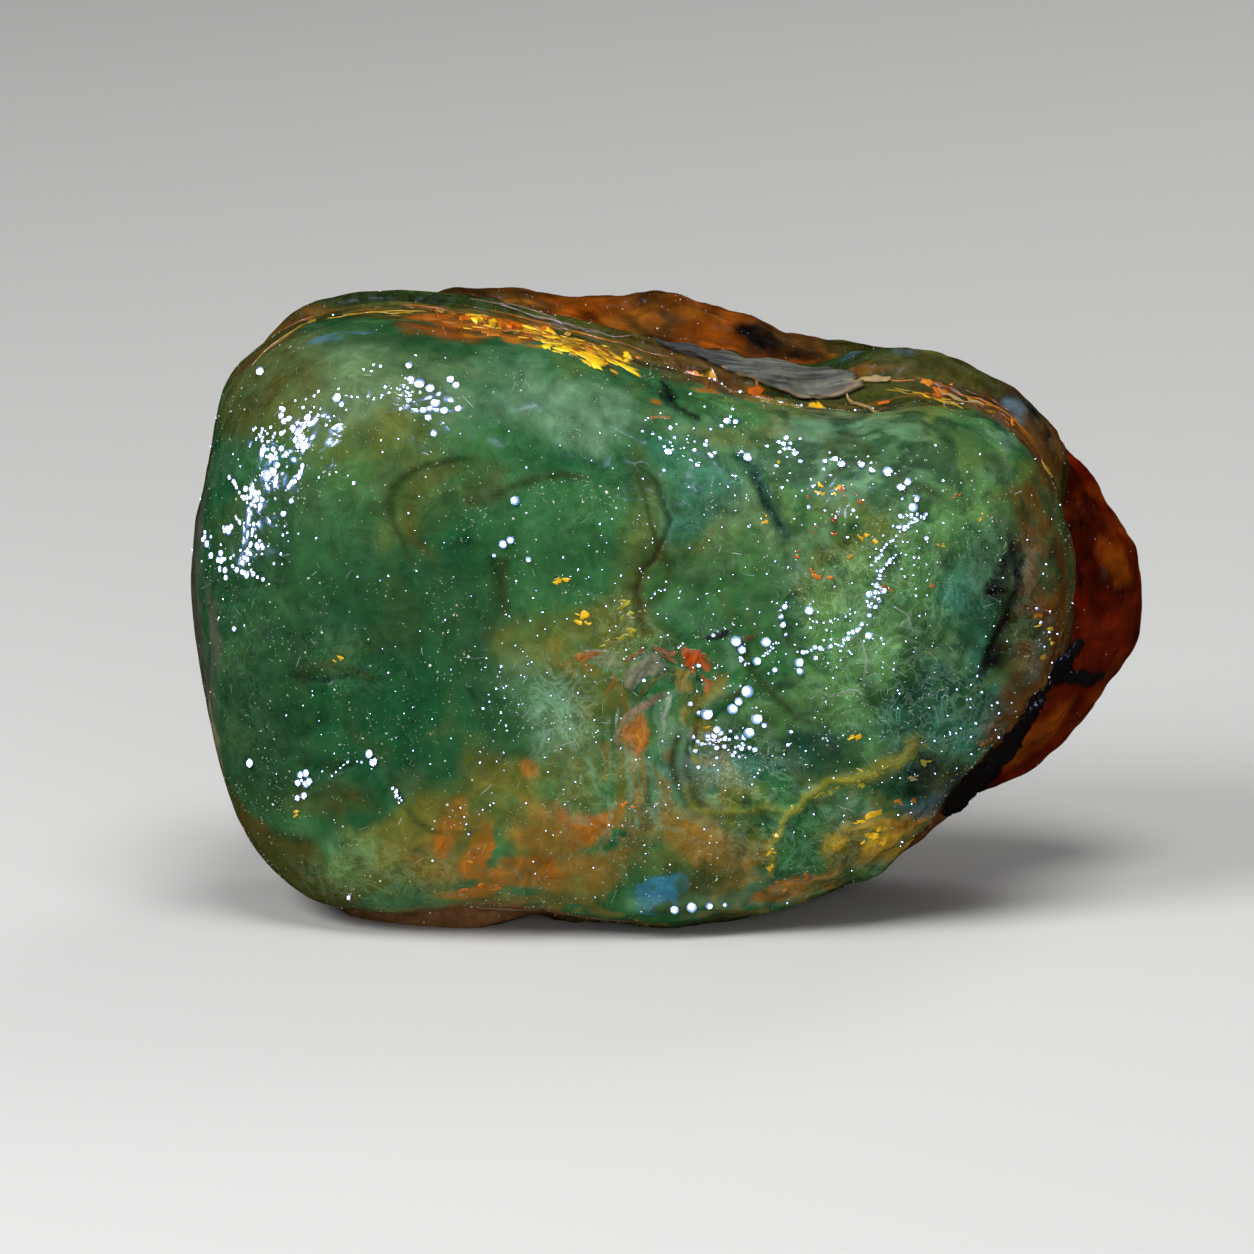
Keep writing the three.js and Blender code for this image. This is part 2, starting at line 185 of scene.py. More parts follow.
# Beads of wet resin that stand on the front and catch the light: x, z and width.
BEADS = [
    (4.4, 21, 0.75), (4.8, 20.4, 0.6), (6.4, 20.9, 0.7), (5.8, 19.6, 0.6), (7, 19, 0.4), (2.5, 16.1, 0.85),
    (2, 16.1, 0.5), (1.4, 16.7, 0.35), (5.2, 17.6, 0.85), (4.6, 16.9, 0.6), (4.2, 16.4, 0.75),
    (5.8, 15.7, 0.8), (6.3, 15.2, 0.4), (5.3, 14.7, 0.75), (5, 14.4, 0.5), (3.2, 15, 0.55), (3, 14.6, 0.5),
    (5.7, 13.5, 0.4), (4.8, 13.6, 0.4), (4.2, 13.1, 0.3), (1.9, 12.3, 0.3), (1.7, 13.4, 0.35),
    (1.9, 19.4, 0.35), (2.9, 21.4, 0.3), (-1.7, 18.3, 0.3), (-0.1, 33.5, 0.65), (1.8, 32.6, 0.4),
    (0, 34.7, 0.35), (3.8, 34.8, 0.55), (4.4, 34.8, 0.4), (3.4, 34.6, 0.3), (2.6, 33.1, 0.3),
    (5.2, 33, 0.65), (7.8, 34.1, 0.4), (7.6, 33.7, 0.4), (8.5, 33.2, 0.3), (8.7, 32.6, 0.35),
    (10.3, 32.4, 0.35), (11, 32.5, 0.55), (11.5, 32.3, 0.55), (12.8, 32.4, 0.5), (13.5, 32.2, 0.55),
    (14.5, 32, 0.75), (15.4, 31.2, 0.7), (15.8, 31.4, 0.55), (16.2, 29.8, 0.65), (16.4, 30.4, 0.55),
    (15.4, 29.3, 0.4), (17.1, 27.8, 0.35), (13.8, 24.7, 0.5), (13.3, 24.1, 0.55), (14.2, 24.4, 0.5),
    (13.7, 23.3, 0.4), (13.3, 22.7, 0.35), (13.3, 21.3, 0.55), (7.6, 23.3, 0.5), (7.4, 22.6, 0.4),
    (7.5, 22.1, 0.5), (7.7, 21.4, 0.3), (9.3, 23, 0.65), (8.9, 20.2, 0.4), (8.6, 19.5, 0.65),
    (8.7, 18.9, 0.5), (9.7, 19.8, 0.35), (8.1, 14.7, 0.3), (12.2, 29.7, 0.3), (9.3, 29.8, 0.3),
    (-27.3, 37.2, 0.6), (-22.1, 36.5, 0.65), (-21.8, 36.2, 0.4), (-26.2, 32.2, 0.6), (-27.4, 29.3, 0.5),
    (-25.8, 29, 0.5), (-25.2, 29.9, 0.4), (-29, 24.8, 0.4), (-29.4, 20.7, 0.4), (-21, 31.4, 0.3),
    (-17.4, 38.4, 0.5), (-17.3, 37.7, 0.5), (-16.7, 37.5, 0.75), (-16, 37.2, 0.65), (-14.7, 37.6, 0.55),
    (-14.3, 37.3, 0.5), (-15.6, 36.4, 0.7), (-15, 36, 0.6), (-16.4, 36, 0.5), (-16.1, 35.6, 0.5),
    (-14.1, 36.1, 0.5), (-15.7, 34.7, 0.5), (-10.3, 30.4, 0.65), (-11.1, 27.5, 0.6), (-10.6, 27.8, 0.55),
    (-9.4, 26.5, 0.4), (-11.7, 26.7, 0.3), (-20.1, 13, 0.6), (-19.8, 12.5, 0.65), (-28.4, 11.4, 0.6),
    (-21.5, 2.8, 0.35), (0.2, 2.8, 0.6), (1.4, 2.9, 0.7), (2.6, 2.8, 0.5), (3.7, 2.7, 0.3),
]
# Crowds of beads: x, z, half width, half height, degrees turned, how many, width of one.
BEAD_CROWDS = [
    (-24.7, 34.9, 0.9, 0.6, 0, 16, 0.42), (-24.5, 33.9, 0.4, 0.7, 0, 7, 0.6),
    (-27.1, 33.8, 0.8, 0.5, 40, 18, 0.23), (-26.6, 32.7, 0.7, 0.6, 20, 14, 0.4),
    (-26.7, 31.6, 0.4, 0.3, 0, 5, 0.6), (-27.9, 29.9, 0.5, 0.3, -30, 7, 0.4),
    (-27.5, 26.7, 0.6, 0.4, 0, 7, 0.5), (-27.8, 27.6, 0.5, 0.3, 0, 4, 0.4),
    (-29.6, 27.3, 0.4, 0.4, 0, 7, 0.4), (-30.9, 26.1, 0.6, 0.5, 0, 7, 0.4),
    (-30, 25.3, 0.5, 0.8, 0, 10, 0.35), (-28.4, 25.6, 0.7, 0.6, 0, 9, 0.35),
    (-27.9, 24.7, 0.6, 0.3, 0, 7, 0.35), (-28.1, 25.7, 2.2, 1.7, 0, 20, 0.2),
    (-24.7, 10.6, 0.4, 0.8, -20, 14, 0.45), (-18.2, 10.4, 0.3, 0.6, 0, 8, 0.27),
    (-26.2, 31, 2.2, 3.6, 0, 24, 0.15), (3.2, 14.4, 1.2, 0.7, 0, 16, 0.35),
    (13.7, 23.8, 0.6, 1.4, -10, 16, 0.3), (16, 29.1, 0.9, 0.6, 40, 14, 0.25), (-23, 36.1, 2, 1, 0, 14, 0.2),
    (-18.3, 37.2, 1.8, 1.1, 0, 16, 0.2), (4.8, 13.4, 1.8, 0.7, 0, 12, 0.25),
    (15.7, 26.5, 2, 2.8, 0, 26, 0.17), (10.2, 21, 2.7, 1.1, 0, 14, 0.2), (1.4, 34.3, 2.7, 1.4, 0, 20, 0.2),
    (-11.5, 16.9, 2, 3.5, 0, 16, 0.17), (25, 21, 0.8, 4.5, 0, 12, 0.2), (-3, 20, 24, 14, 0, 300, 0.12),
    (8, 20, 16, 12, 0, 200, 0.13), (20.5, 15, 2, 2.5, 0, 16, 0.17), (8, 31.5, 7, 2.0, 0, 40, 0.2),
    (2.4, 33.4, 1.2, 0.8, 0, 6, 0.35), (8, 33.4, 0.9, 0.7, 0, 9, 0.3),
]
# Chains of small beads: how many, the width of one and the (x, z) route.
BEAD_CHAINS = [
    (9, 0.3, [(-24.3, 32.3), (-24.7, 31.7), (-25.2, 30.9)]),
    (14, 0.27, [(-29.5, 30.7), (-28.9, 30.0), (-28.3, 29.3), (-27.4, 29.1)]),
    (9, 0.25, [(-29.1, 28.2), (-28.7, 27.9), (-27.6, 28.1)]),
    (20, 0.27, [(17.2, 29.3), (16.4, 28.9), (15.4, 28.3), (14.5, 27.5), (14.0, 26.8), (13.5, 26.1)]),
    (10, 0.27, [(15.1, 26.7), (14.5, 26.2), (13.9, 25.7), (13.9, 25.1)]),
    (20, 0.3, [(12.8, 22.1), (12.4, 21.6), (11.9, 21.3), (11.5, 20.8), (10.6, 20.5), (9.7, 20.5),
     (9.2, 20.2)]),
    (8, 0.2, [(4.6, 20.0), (4.9, 19.6), (5.3, 19.4)]),
    (12, 0.17, [(6.3, 19.9), (6.7, 20.4), (7.2, 20.9)]),
    (10, 0.2, [(12.3, 22.9), (11.6, 22.6), (10.8, 22.3), (9.9, 22.2), (9.3, 22.4)]),
    (12, 0.27, [(1.5, 14.4), (2.1, 13.9), (2.9, 13.9), (3.6, 14.4)]),
    (10, 0.2, [(-1.9, 34.6), (-1.0, 34.4), (-0.1, 33.9), (1.4, 32.8)]),
    (14, 0.17, [(-21.5, 36.7), (-20.5, 36.6), (-19.2, 36.7), (-18.3, 37.1), (-17.5, 37.2)]),
    (8, 0.2, [(-22.6, 11.2), (-22.0, 11.9), (-21.3, 12.5), (-20.7, 12.4)]),
]
# Patches of colour on the front: x, z, half width, half height, degrees turned, the colour, its strength
# and its softness.
PATCHES = [
    (-26.5, 21, 3.5, 9, 0, "deep_green", 0.8, 0.9), (-17, 21, 6, 6, 0, "deep_green", 0.6, 0.9),
    (-20, 15.5, 6, 3, 0, "emerald", 0.6, 0.8), (-12, 17, 2.5, 5, 0, "deep_green", 0.6, 0.8),
    (-22.5, 36.5, 7, 3.0, 0, "olive", 0.6, 0.9), (-22.5, 37.4, 5.2, 1.7, 10, "pale_green", 0.45, 0.9),
    (-26.5, 37, 4.5, 2.5, 30, "olive_brown", 0.7, 0.9), (-19, 39.4, 4, 0.8, 0, "deep_green", 0.6, 0.8),
    (-22.4, 25.6, 3.5, 3.5, 0, "deep_green", 0.6, 0.9), (-13, 36.6, 5, 1.5, -5, "pale_green", 0.35, 0.9),
    (-18, 31, 4, 3, 0, "olive", 0.4, 0.9), (-5, 33.5, 5, 3, 0, "emerald", 0.7, 0.8),
    (-17.4, 28.6, 0.9, 3.6, 8, "olive_brown", 0.7, 0.8), (-15.4, 32, 2.5, 0.8, 20, "olive_brown", 0.6, 0.9),
    (-14.2, 27.5, 2.8, 3.5, 0, "emerald", 0.5, 0.6), (-11.4, 31, 1, 2, 40, "olive_brown", 0.5, 0.9),
    (-7, 27.5, 4.4, 3.6, 0, "green", 0.8, 0.5), (-1.9, 29.4, 1.6, 3.4, 0, "olive", 0.45, 0.8),
    (-1.5, 24, 0.9, 3.8, 0, "olive_brown", 0.5, 0.8), (-4.4, 22.4, 4, 2, 40, "olive", 0.8, 0.8),
    (-7.8, 21.5, 3.5, 2.6, 0, "olive", 0.55, 0.8), (5, 21.8, 5.5, 3.2, 0, "green", 0.9, 0.6),
    (4.5, 27, 4.5, 4, -30, "olive", 0.3, 0.8), (4, 24.5, 4.5, 2.5, 0, "green", 0.6, 0.8),
    (1.5, 31, 3, 2.5, 0, "teal", 0.7, 0.8), (9.5, 33, 6.5, 2.2, -5, "pale_green", 0.4, 0.9),
    (16, 31, 5, 3, -30, "leaf", 0.75, 0.8), (12.5, 26.5, 2, 3, 0, "olive", 0.6, 0.8),
    (14.2, 22, 4, 6.5, -20, "leaf", 0.7, 0.8), (10, 17.8, 3.5, 2, 0, "leaf", 0.85, 0.7),
    (8.5, 13, 3.4, 1.6, 0, "teal_dark", 0.85, 0.6), (15.5, 12.4, 2.6, 1.6, 0, "teal_dark", 0.8, 0.6),
    (4.6, 11.8, 3.6, 2.6, 0, "teal", 0.85, 0.6), (19.2, 16, 3.6, 3.2, 0, "teal", 0.95, 0.6),
    (17.2, 18, 2, 2, 0, "teal_dark", 0.7, 0.6), (21.2, 24, 2.2, 4, -15, "teal", 0.95, 0.6),
    (19, 28.5, 3, 3.5, -25, "leaf", 0.6, 0.8), (23.4, 27.5, 1.8, 3.5, -20, "olive_brown", 0.45, 0.8),
    (23.9, 21, 1.1, 2.8, 0, "olive_brown", 0.9, 0.6), (24.7, 21.5, 1.9, 8, -4, "olive_brown", 0.9, 0.8),
    (25.3, 20.5, 0.9, 3.0, 0, "ochre", 0.6, 0.8), (24.4, 25.0, 1.2, 2.5, 0, "grey_olive", 0.6, 0.8),
    (24.7, 26.4, 0.25, 0.4, 0, "orange", 0.5, 0.8), (25.6, 17.6, 0.8, 2, 0, "brown", 0.8, 0.8),
    (22.6, 14.6, 1.6, 3.5, -38, "grey_olive", 0.8, 0.7), (-28.3, 5.8, 2, 4, 30, "olive_brown", 0.9, 0.6),
    (-27.6, 4.4, 2, 3.4, 35, "brown", 0.5, 0.8), (-25.7, 4.6, 2.4, 2.4, 0, "dark_olive", 0.85, 0.8),
    (-24.3, 3.2, 4.2, 2.2, -25, "olive_brown", 0.9, 0.5),
    (-24.5, 10.8, 2.8, 1.4, 0, "olive_brown", 0.6, 0.9), (-19.2, 6.4, 2.8, 3.6, 0, "olive", 0.95, 0.6),
    (-21.5, 5.5, 2, 2, 0, "leaf", 0.5, 0.8), (-16.5, 6.4, 2.4, 2.2, 0, "ochre", 0.6, 0.8),
    (-15.5, 7.7, 0.9, 1.4, -20, "orange", 0.9, 0.5), (-17.5, 8.2, 1.6, 1.4, 0, "olive", 0.8, 0.6),
    (-13.5, 6, 0.5, 1.9, 6, "orange", 0.9, 0.3), (-12.6, 10, 2.5, 3.4, -20, "olive", 0.8, 0.7),
    (-7.4, 7.6, 2.4, 2.9, 0, "orange", 0.9, 0.45), (-9.2, 6.4, 2.8, 2.4, -20, "ochre", 0.9, 0.7),
    (-5.6, 9.8, 2.2, 1.0, 8, "orange", 0.7, 0.3), (-10.9, 12.1, 0.6, 1.1, 10, "orange", 0.6, 0.6),
    (-10.3, 3.4, 4.4, 1.1, 0, "orange", 0.8, 0.5), (-4.6, 4.4, 2.6, 1.6, 20, "ochre", 0.7, 0.6),
    (-1.6, 8.6, 1.8, 3.6, -25, "emerald", 0.7, 0.6), (-3.4, 13.2, 1.1, 3.4, -8, "olive", 0.8, 0.6),
    (-2.0, 14.3, 1.4, 2.0, 0, "orange", 0.5, 0.8), (-1.2, 11.6, 1.4, 2, 0, "ochre", 0.6, 0.6),
    (-8.7, 16.2, 2.2, 3.6, 8, "pale_green", 0.55, 0.8), (-8.0, 12.5, 2.5, 2.0, 0, "olive", 0.5, 0.8),
    (-5.2, 17.5, 2.2, 3, -30, "olive", 0.6, 0.7), (2.2, 5.8, 2.4, 3, -10, "ochre", 0.75, 0.6),
    (1.2, 3.4, 3, 1.6, 0, "olive_brown", 0.7, 0.7), (6.2, 7.8, 2.2, 2, 0, "olive", 0.7, 0.7),
    (9, 6.8, 2.6, 2.2, 0, "green", 0.8, 0.6), (12.4, 9.2, 1.4, 1.6, 0, "pale_green", 0.7, 0.7),
    (14.6, 6.6, 3.1, 2.7, 35, "gold", 1.0, 0.4), (13.3, 6.6, 1.6, 1.6, 0, "moss", 0.15, 0.8),
    (16.2, 8.2, 2, 1.5, 30, "orange", 0.85, 0.5), (14.2, 4.4, 1.8, 1.2, 35, "ochre", 0.9, 0.5),
    # The blue patch at (-1.1, 2.4) is a painted blue reflection.
    (8.4, 2.9, 3.4, 1.1, 8, "orange", 0.75, 0.5), (-1.1, 2.4, 1.0, 0.25, 0, "blue", 1.0, 0.8),
    (16.9, 9.8, 1.6, 1.2, 0, "blue_grey", 0.7, 0.6), (17.4, 12.6, 1.0, 0.9, 0, "dark", 0.5, 0.7),
    (18.8, 10.6, 1.9, 1.2, 35, "slate", 0.8, 0.6), (-29.9, 18, 0.8, 5.5, 0, "grey_olive", 0.8, 0.6),
    (22.3, 22.6, 0.5, 3.6, -14, "char", 1.0, 0.6), (22.5, 20.3, 1.0, 1.9, -14, "char", 1.0, 0.5),
    (20.9, 18.9, 0.4, 1.4, -30, "char", 0.6, 0.7), (23.2, 26.4, 0.55, 0.7, -20, "char", 0.9, 0.6),
    (10, 34.6, 8, 0.8, -3, "olive", 0.6, 0.8), (-27, 13, 3, 3.5, 0, "deep_green", 0.7, 0.8),
    (26.4, 19.4, 0.9, 1.0, 0, "gold", 0.5, 0.6), (18, 33.5, 5, 1.5, -20, "olive", 0.35, 0.8),
    (12, 33, 6, 2, -8, "haze_green", 0.25, 0.9), (4.2, 12, 2.6, 1.8, 0, "haze_green", 0.5, 0.8),
    (-6, 35.4, 4.2, 1.6, -8, "pale_green", 0.65, 0.9), (24.8, 28.6, 1.2, 2.4, -15, "brown", 0.8, 0.7),
    (25.2, 23.2, 1.5, 2.8, 0, "brown", 0.8, 0.7), (24.2, 17.2, 1.7, 2.4, -20, "brown", 0.75, 0.7),
    (23.6, 21.0, 1.3, 2.6, 0, "brown", 0.65, 0.7), (17.9, 11.4, 1.3, 1.0, 20, "slate", 0.6, 0.7),
]
# Patches of colour round the rim and on the slab: degrees from +X, share of the way back, half width in
# degrees and in shares, the colour and its strength.
BAND_PATCHES = [
    # The lip patches at 235, 251 and 236 degrees are its brown painted lighter, as a highlight along its
    # edge.
    (235, 0.52, 19, 0.13, "lip", 1.0), (251, 0.455, 12, 0.04, "lip", 0.9),
    (236, 0.466, 14, 0.028, "lip", 0.95), (127.5, 0.43, 4.0, 0.036, "brown", 1.0),
    (128, 0.432, 3.2, 0.03, "dark_orange", 0.45), (147, 0.6, 5, 0.04, "brown", 0.8),
    (150, 0.5, 4, 0.03, "olive_brown", 0.8), (228, 0.5, 6, 0.05, "brown", 0.7),
    (262, 0.42, 10, 0.03, "brown", 0.6), (282, 0.42, 14, 0.025, "olive_brown", 0.6),
    (181, 0.455, 17, 0.035, "grey_olive", 0.9), (196, 0.44, 5, 0.02, "tan", 0.5),
    (2, 0.385, 15, 0.032, "brown", 0.85), (-13, 0.38, 9, 0.035, "brown", 0.8),
    (12, 0.415, 9, 0.025, "olive_brown", 0.6), (-3, 0.345, 5, 0.02, "grey_olive", 0.6),
    (139, 0.425, 2.2, 0.014, "blue_grey", 0.8), (147, 0.482, 5, 0.014, "brown", 0.6),
    # The blue grey patches at 52.5, 46 and 29 degrees are painted blue sheen.
    (131, 0.49, 6, 0.02, "olive_brown", 0.7), (52.5, 0.64, 2.2, 0.02, "blue_grey", 0.6),
    (42, 0.6, 7, 0.03, "olive_brown", 0.8), (46, 0.616, 1.6, 0.01, "blue_grey", 0.5),
    (33, 0.57, 9, 0.04, "dark", 0.4), (27, 0.595, 7, 0.03, "dark", 0.8), (45, 0.57, 8, 0.04, "dark", 0.25),
    (25, 0.56, 9, 0.04, "brown", 0.7), (29, 0.59, 2.2, 0.014, "blue_grey", 0.5),
    (36, 0.6, 5, 0.014, "olive_brown", 0.7), (47, 0.56, 9, 0.02, "olive_brown", 0.6),
    (66, 0.5, 8, 0.03, "olive", 0.8), (82.5, 0.47, 3, 0.012, "orange", 0.8),
    (76, 0.492, 3, 0.008, "orange", 0.7), (92.5, 0.365, 1.6, 0.008, "orange", 0.6),
    (70, 0.475, 3, 0.012, "ochre", 0.6), (88, 0.55, 6, 0.03, "brown", 0.8),
]
# On the slab, the dark orange patches are painted glow.
SLAB_PATCHES = [
    (84.5, 0.72, 8, 0.012, "orange", 0.6), (78, 0.715, 7, 0.01, "dark_orange", 0.6),
    (96, 0.722, 5, 0.008, "orange", 0.5), (101.8, 0.69, 3, 0.02, "orange", 0.6),
    (94, 0.7, 3, 0.015, "orange", 0.6), (119, 0.705, 5, 0.012, "orange", 0.5),
    (110, 0.73, 5, 0.02, "dark_orange", 0.8), (62, 0.72, 5, 0.03, "brown", 0.8),
    # The blue grey patch at 52 degrees is painted blue sheen.
    (50, 0.7, 6, 0.04, "olive_brown", 0.9), (52, 0.68, 3, 0.02, "blue_grey", 0.6),
    (43, 0.7, 4, 0.03, "olive", 0.7), (66, 0.74, 8, 0.04, "brown", 0.8), (68, 0.71, 10, 0.03, "dark", 0.5),
    (70.5, 0.73, 6, 0.025, "dark", 0.8), (36, 0.69, 5, 0.03, "brown", 0.9),
    (2.5, 0.67, 2, 0.008, "dark", 0.9), (8, 0.7, 14, 0.03, "dark_red", 0.8),
    (3, 0.718, 3, 0.012, "dark_orange", 0.6), (-21, 0.69, 7, 0.018, "dark_orange", 0.7),
    (-14, 0.74, 6, 0.02, "dark_orange", 0.3),
]
# Where fine whitish scratches and where orange-peel bumps lie on the front: x, z, half width, half height
# and amount.
HAZES = [
    (-8.7, 16.5, 3.0, 4.5, 0.8), (14.5, 22, 6, 8, 0.7), (18, 15.5, 4.5, 4, 0.9), (5, 12.5, 5, 2.5, 0.9),
    (4, 31, 8, 4, 0.2), (-5, 31, 4, 3, 0.2), (-12, 33, 7, 3.5, 0.1), (-26, 31, 5, 6, 0.12),
    (-28, 20, 3, 9, 0.2), (-20, 19.5, 4, 3, 0.25), (-20, 4.5, 6, 2.5, 0.5), (10, 6.5, 8, 4, 0.6),
    (-4, 10, 4, 4, 0.4), (20, 26, 4, 5, 0.4), (25.4, 22, 1.3, 6, 0.45), (-3.5, 21, 3, 3, 0.5),
]
PEELS = [
    (-25.6, 33.0, 3.4, 3.4, 0.75), (-29.3, 25.8, 2.2, 2.4, 0.7), (-28, 29.5, 2.2, 2.6, 0.4),
    (-30.4, 19, 1, 5, 0.5), (-16, 36, 3, 2, 0.5), (-22.5, 36.9, 5, 2.0, 0.4), (-26.5, 9, 3.5, 3.5, 0.6),
    (4, 13.5, 3, 1.6, 0.35), (18, 14, 5, 5, 0.25), (12, 25, 5, 8, 0.2), (22, 24, 4, 8, 0.3),
]
# What the flow layer and the slab look like round the lump: degrees from +X and a colour.
FLOW_COLOURS = [
    (8, "olive_brown"), (30, "brown"), (42, "olive_brown"), (52, "dark_olive"), (60, "dark_olive"),
    (80, "brown"), (100, "olive_brown"), (118, "dark_olive"), (140, "dark_olive"), (160, "olive_brown"),
    (190, "grey_olive"), (215, "dark_olive"), (232, "brown"), (250, "brown"), (262, "olive_brown"),
    (285, "olive"), (305, "brown"), (330, "brown"), (350, "brown"),
]
# On the slab, dark orange round the top is painted glow.
SLAB_COLOURS = [
    (0, "red_brown"), (30, "red_brown"), (45, "olive_brown"), (60, "brown"), (76, "dark_orange"),
    (92, "brown"), (106, "dark_orange"), (122, "brown"), (150, "brown"), (180, "dark_olive"),
    (215, "brown"), (250, "red_brown"), (300, "red_brown"),
]
# On the skin, as degrees from +X and the share of the way from front to back: the bark's outline, and routes.
BARK_OUTLINE = [
    (94.5, 0.636), (87.6, 0.634), (78.3, 0.633), (69.3, 0.626), (61.1, 0.626), (53.9, 0.604), (51.3, 0.592),
    (48.2, 0.563), (52.2, 0.561), (58.5, 0.57), (65.3, 0.576), (71.4, 0.588), (79.1, 0.601), (85.2, 0.616),
    (92.1, 0.628),
]
LIGNITE_ROUTE = [(-38, 0.59), (-32, 0.58), (-25, 0.605), (-18, 0.62), (-12, 0.64), (-6.5, 0.672)]
LIGNITE_BRANCH = [(-13, 0.64), (-12, 0.672), (-12.6, 0.705), (-11.4, 0.72)]
STRAW_ROUTES = [
    [(49.9, 0.578), (47.8, 0.575), (45.2, 0.576)], [(51.0, 0.568), (48.3, 0.53), (45.4, 0.478)],
    [(38.7, 0.56), (36.2, 0.535), (33.2, 0.502)],
]
STRAW_WIDTHS = (0.6, 0.25, 0.35)
# Threads of resin in the seams: a colour, how many, and the route they keep to.
THREADS = [
    ("film_tail", 9, [(127, 0.617), (120, 0.614), (114.5, 0.611), (108.8, 0.611), (102, 0.618),
     (94.3, 0.644)]),
    ("orange", 6, [(128, 0.6), (118, 0.6), (108, 0.6), (98, 0.6), (88, 0.6)]),
    ("orange", 9, [(50, 0.578), (45.3, 0.575), (39.9, 0.569), (35.6, 0.568), (31.9, 0.574), (25, 0.577),
     (18, 0.57)]),
    ("gold", 5, [(46, 0.566), (41.3, 0.544), (37.2, 0.505), (34, 0.49)]),
    ("gold", 5, [(73, 0.505), (66, 0.493), (58.5, 0.49), (52.5, 0.53)]),
    ("gold", 4, [(150, 0.47), (143.2, 0.49), (139.8, 0.5), (134, 0.5), (130.5, 0.497), (125, 0.5)]),
    ("orange", 4, [(147, 0.52), (140, 0.54), (133, 0.57), (128, 0.575), (120, 0.57)]),
    ("orange", 6, [(30, 0.55), (24, 0.55), (18, 0.545), (10, 0.54), (0, 0.54)]),
    ("film_tail", 5, [(226, 0.5), (236, 0.49), (246, 0.46), (254, 0.42), (262, 0.4)]),
]
# Crumbs of coloured resin in the face: x, z, size, colour.
CRUMBS = [
    (-6.1, 22.5, 0.9, "gold"), (-5.6, 22.3, 0.5, "gold"), (-2.8, 23.7, 1.0, "moss"),
    (-2.2, 23.3, 0.8, "moss"), (-3.3, 21.1, 1.0, "moss"), (-3.9, 20.7, 0.7, "moss"),
    (-2.5, 22.1, 0.9, "moss"), (-2.9, 22.8, 0.6, "tan"), (9.4, 28.5, 0.4, "flame"),
    (10.9, 29.1, 0.6, "flame"), (10.9, 28.3, 0.4, "flame"), (10, 25.5, 0.9, "orange"),
    (8.6, 26.7, 0.5, "orange"), (10.4, 31.0, 0.8, "gold"), (11.1, 31.0, 0.6, "gold"),
    (6.3, 29.1, 0.5, "gold"), (12.5, 14.2, 0.9, "gold"), (2.3, 15.5, 0.6, "gold"),
    (9.3, 30.5, 0.3, "orange"), (11.5, 30.9, 0.7, "orange"), (12.5, 30.4, 0.6, "orange"),
    (12, 26.7, 0.5, "ochre"), (7.3, 32.6, 0.3, "gold"), (-22.4, 19.7, 0.7, "gold"), (-7.4, 25, 0.9, "gold"),
    (-25.3, 8.4, 0.7, "gold"), (13, 28.2, 0.8, "gold"), (14.2, 24.7, 0.9, "orange"),
    (-12.9, 4, 0.9, "orange"), (-11.9, 3.8, 0.7, "orange"), (-13.3, 6, 0.6, "orange"),
    (13.2, 6.6, 0.9, "gold"), (14, 7.7, 1.3, "gold"), (13.6, 6.9, 0.7, "gold"), (16, 9.2, 1.0, "orange"),
    (14.4, 6.4, 0.9, "gold"), (12.9, 7.8, 0.7, "gold"), (8.9, 3.8, 1.1, "orange"),
    (7.5, 3.5, 0.7, "orange"), (6.8, 5.3, 0.6, "gold"), (6.9, 6.2, 0.6, "gold"), (7.2, 7.2, 0.5, "gold"),
    (15.2, 12.0, 0.7, "moss"), (14.2, 11.8, 0.9, "moss"), (12.6, 11.5, 0.8, "moss"),
    (11.2, 10.7, 0.8, "moss"), (9.7, 10.3, 0.7, "moss"), (8.5, 9.4, 0.9, "moss"), (16.6, 12.4, 0.7, "moss"),
    (17.2, 11.6, 0.6, "moss"), (16.8, 10.8, 0.5, "tan"), (24.9, 21.0, 0.8, "gold"),
    (25.1, 20.2, 0.6, "gold"), (24.6, 22.0, 0.7, "orange"), (24.4, 19.0, 0.6, "ochre"),
    (21.0, 12.9, 0.5, "orange"), (-3.0, 9.6, 0.7, "orange"), (17.4, 24.6, 0.5, "orange"),
    (18.2, 27.2, 0.4, "gold"), (19.3, 30.4, 0.6, "orange"), (20.8, 28.9, 0.4, "gold"),
]
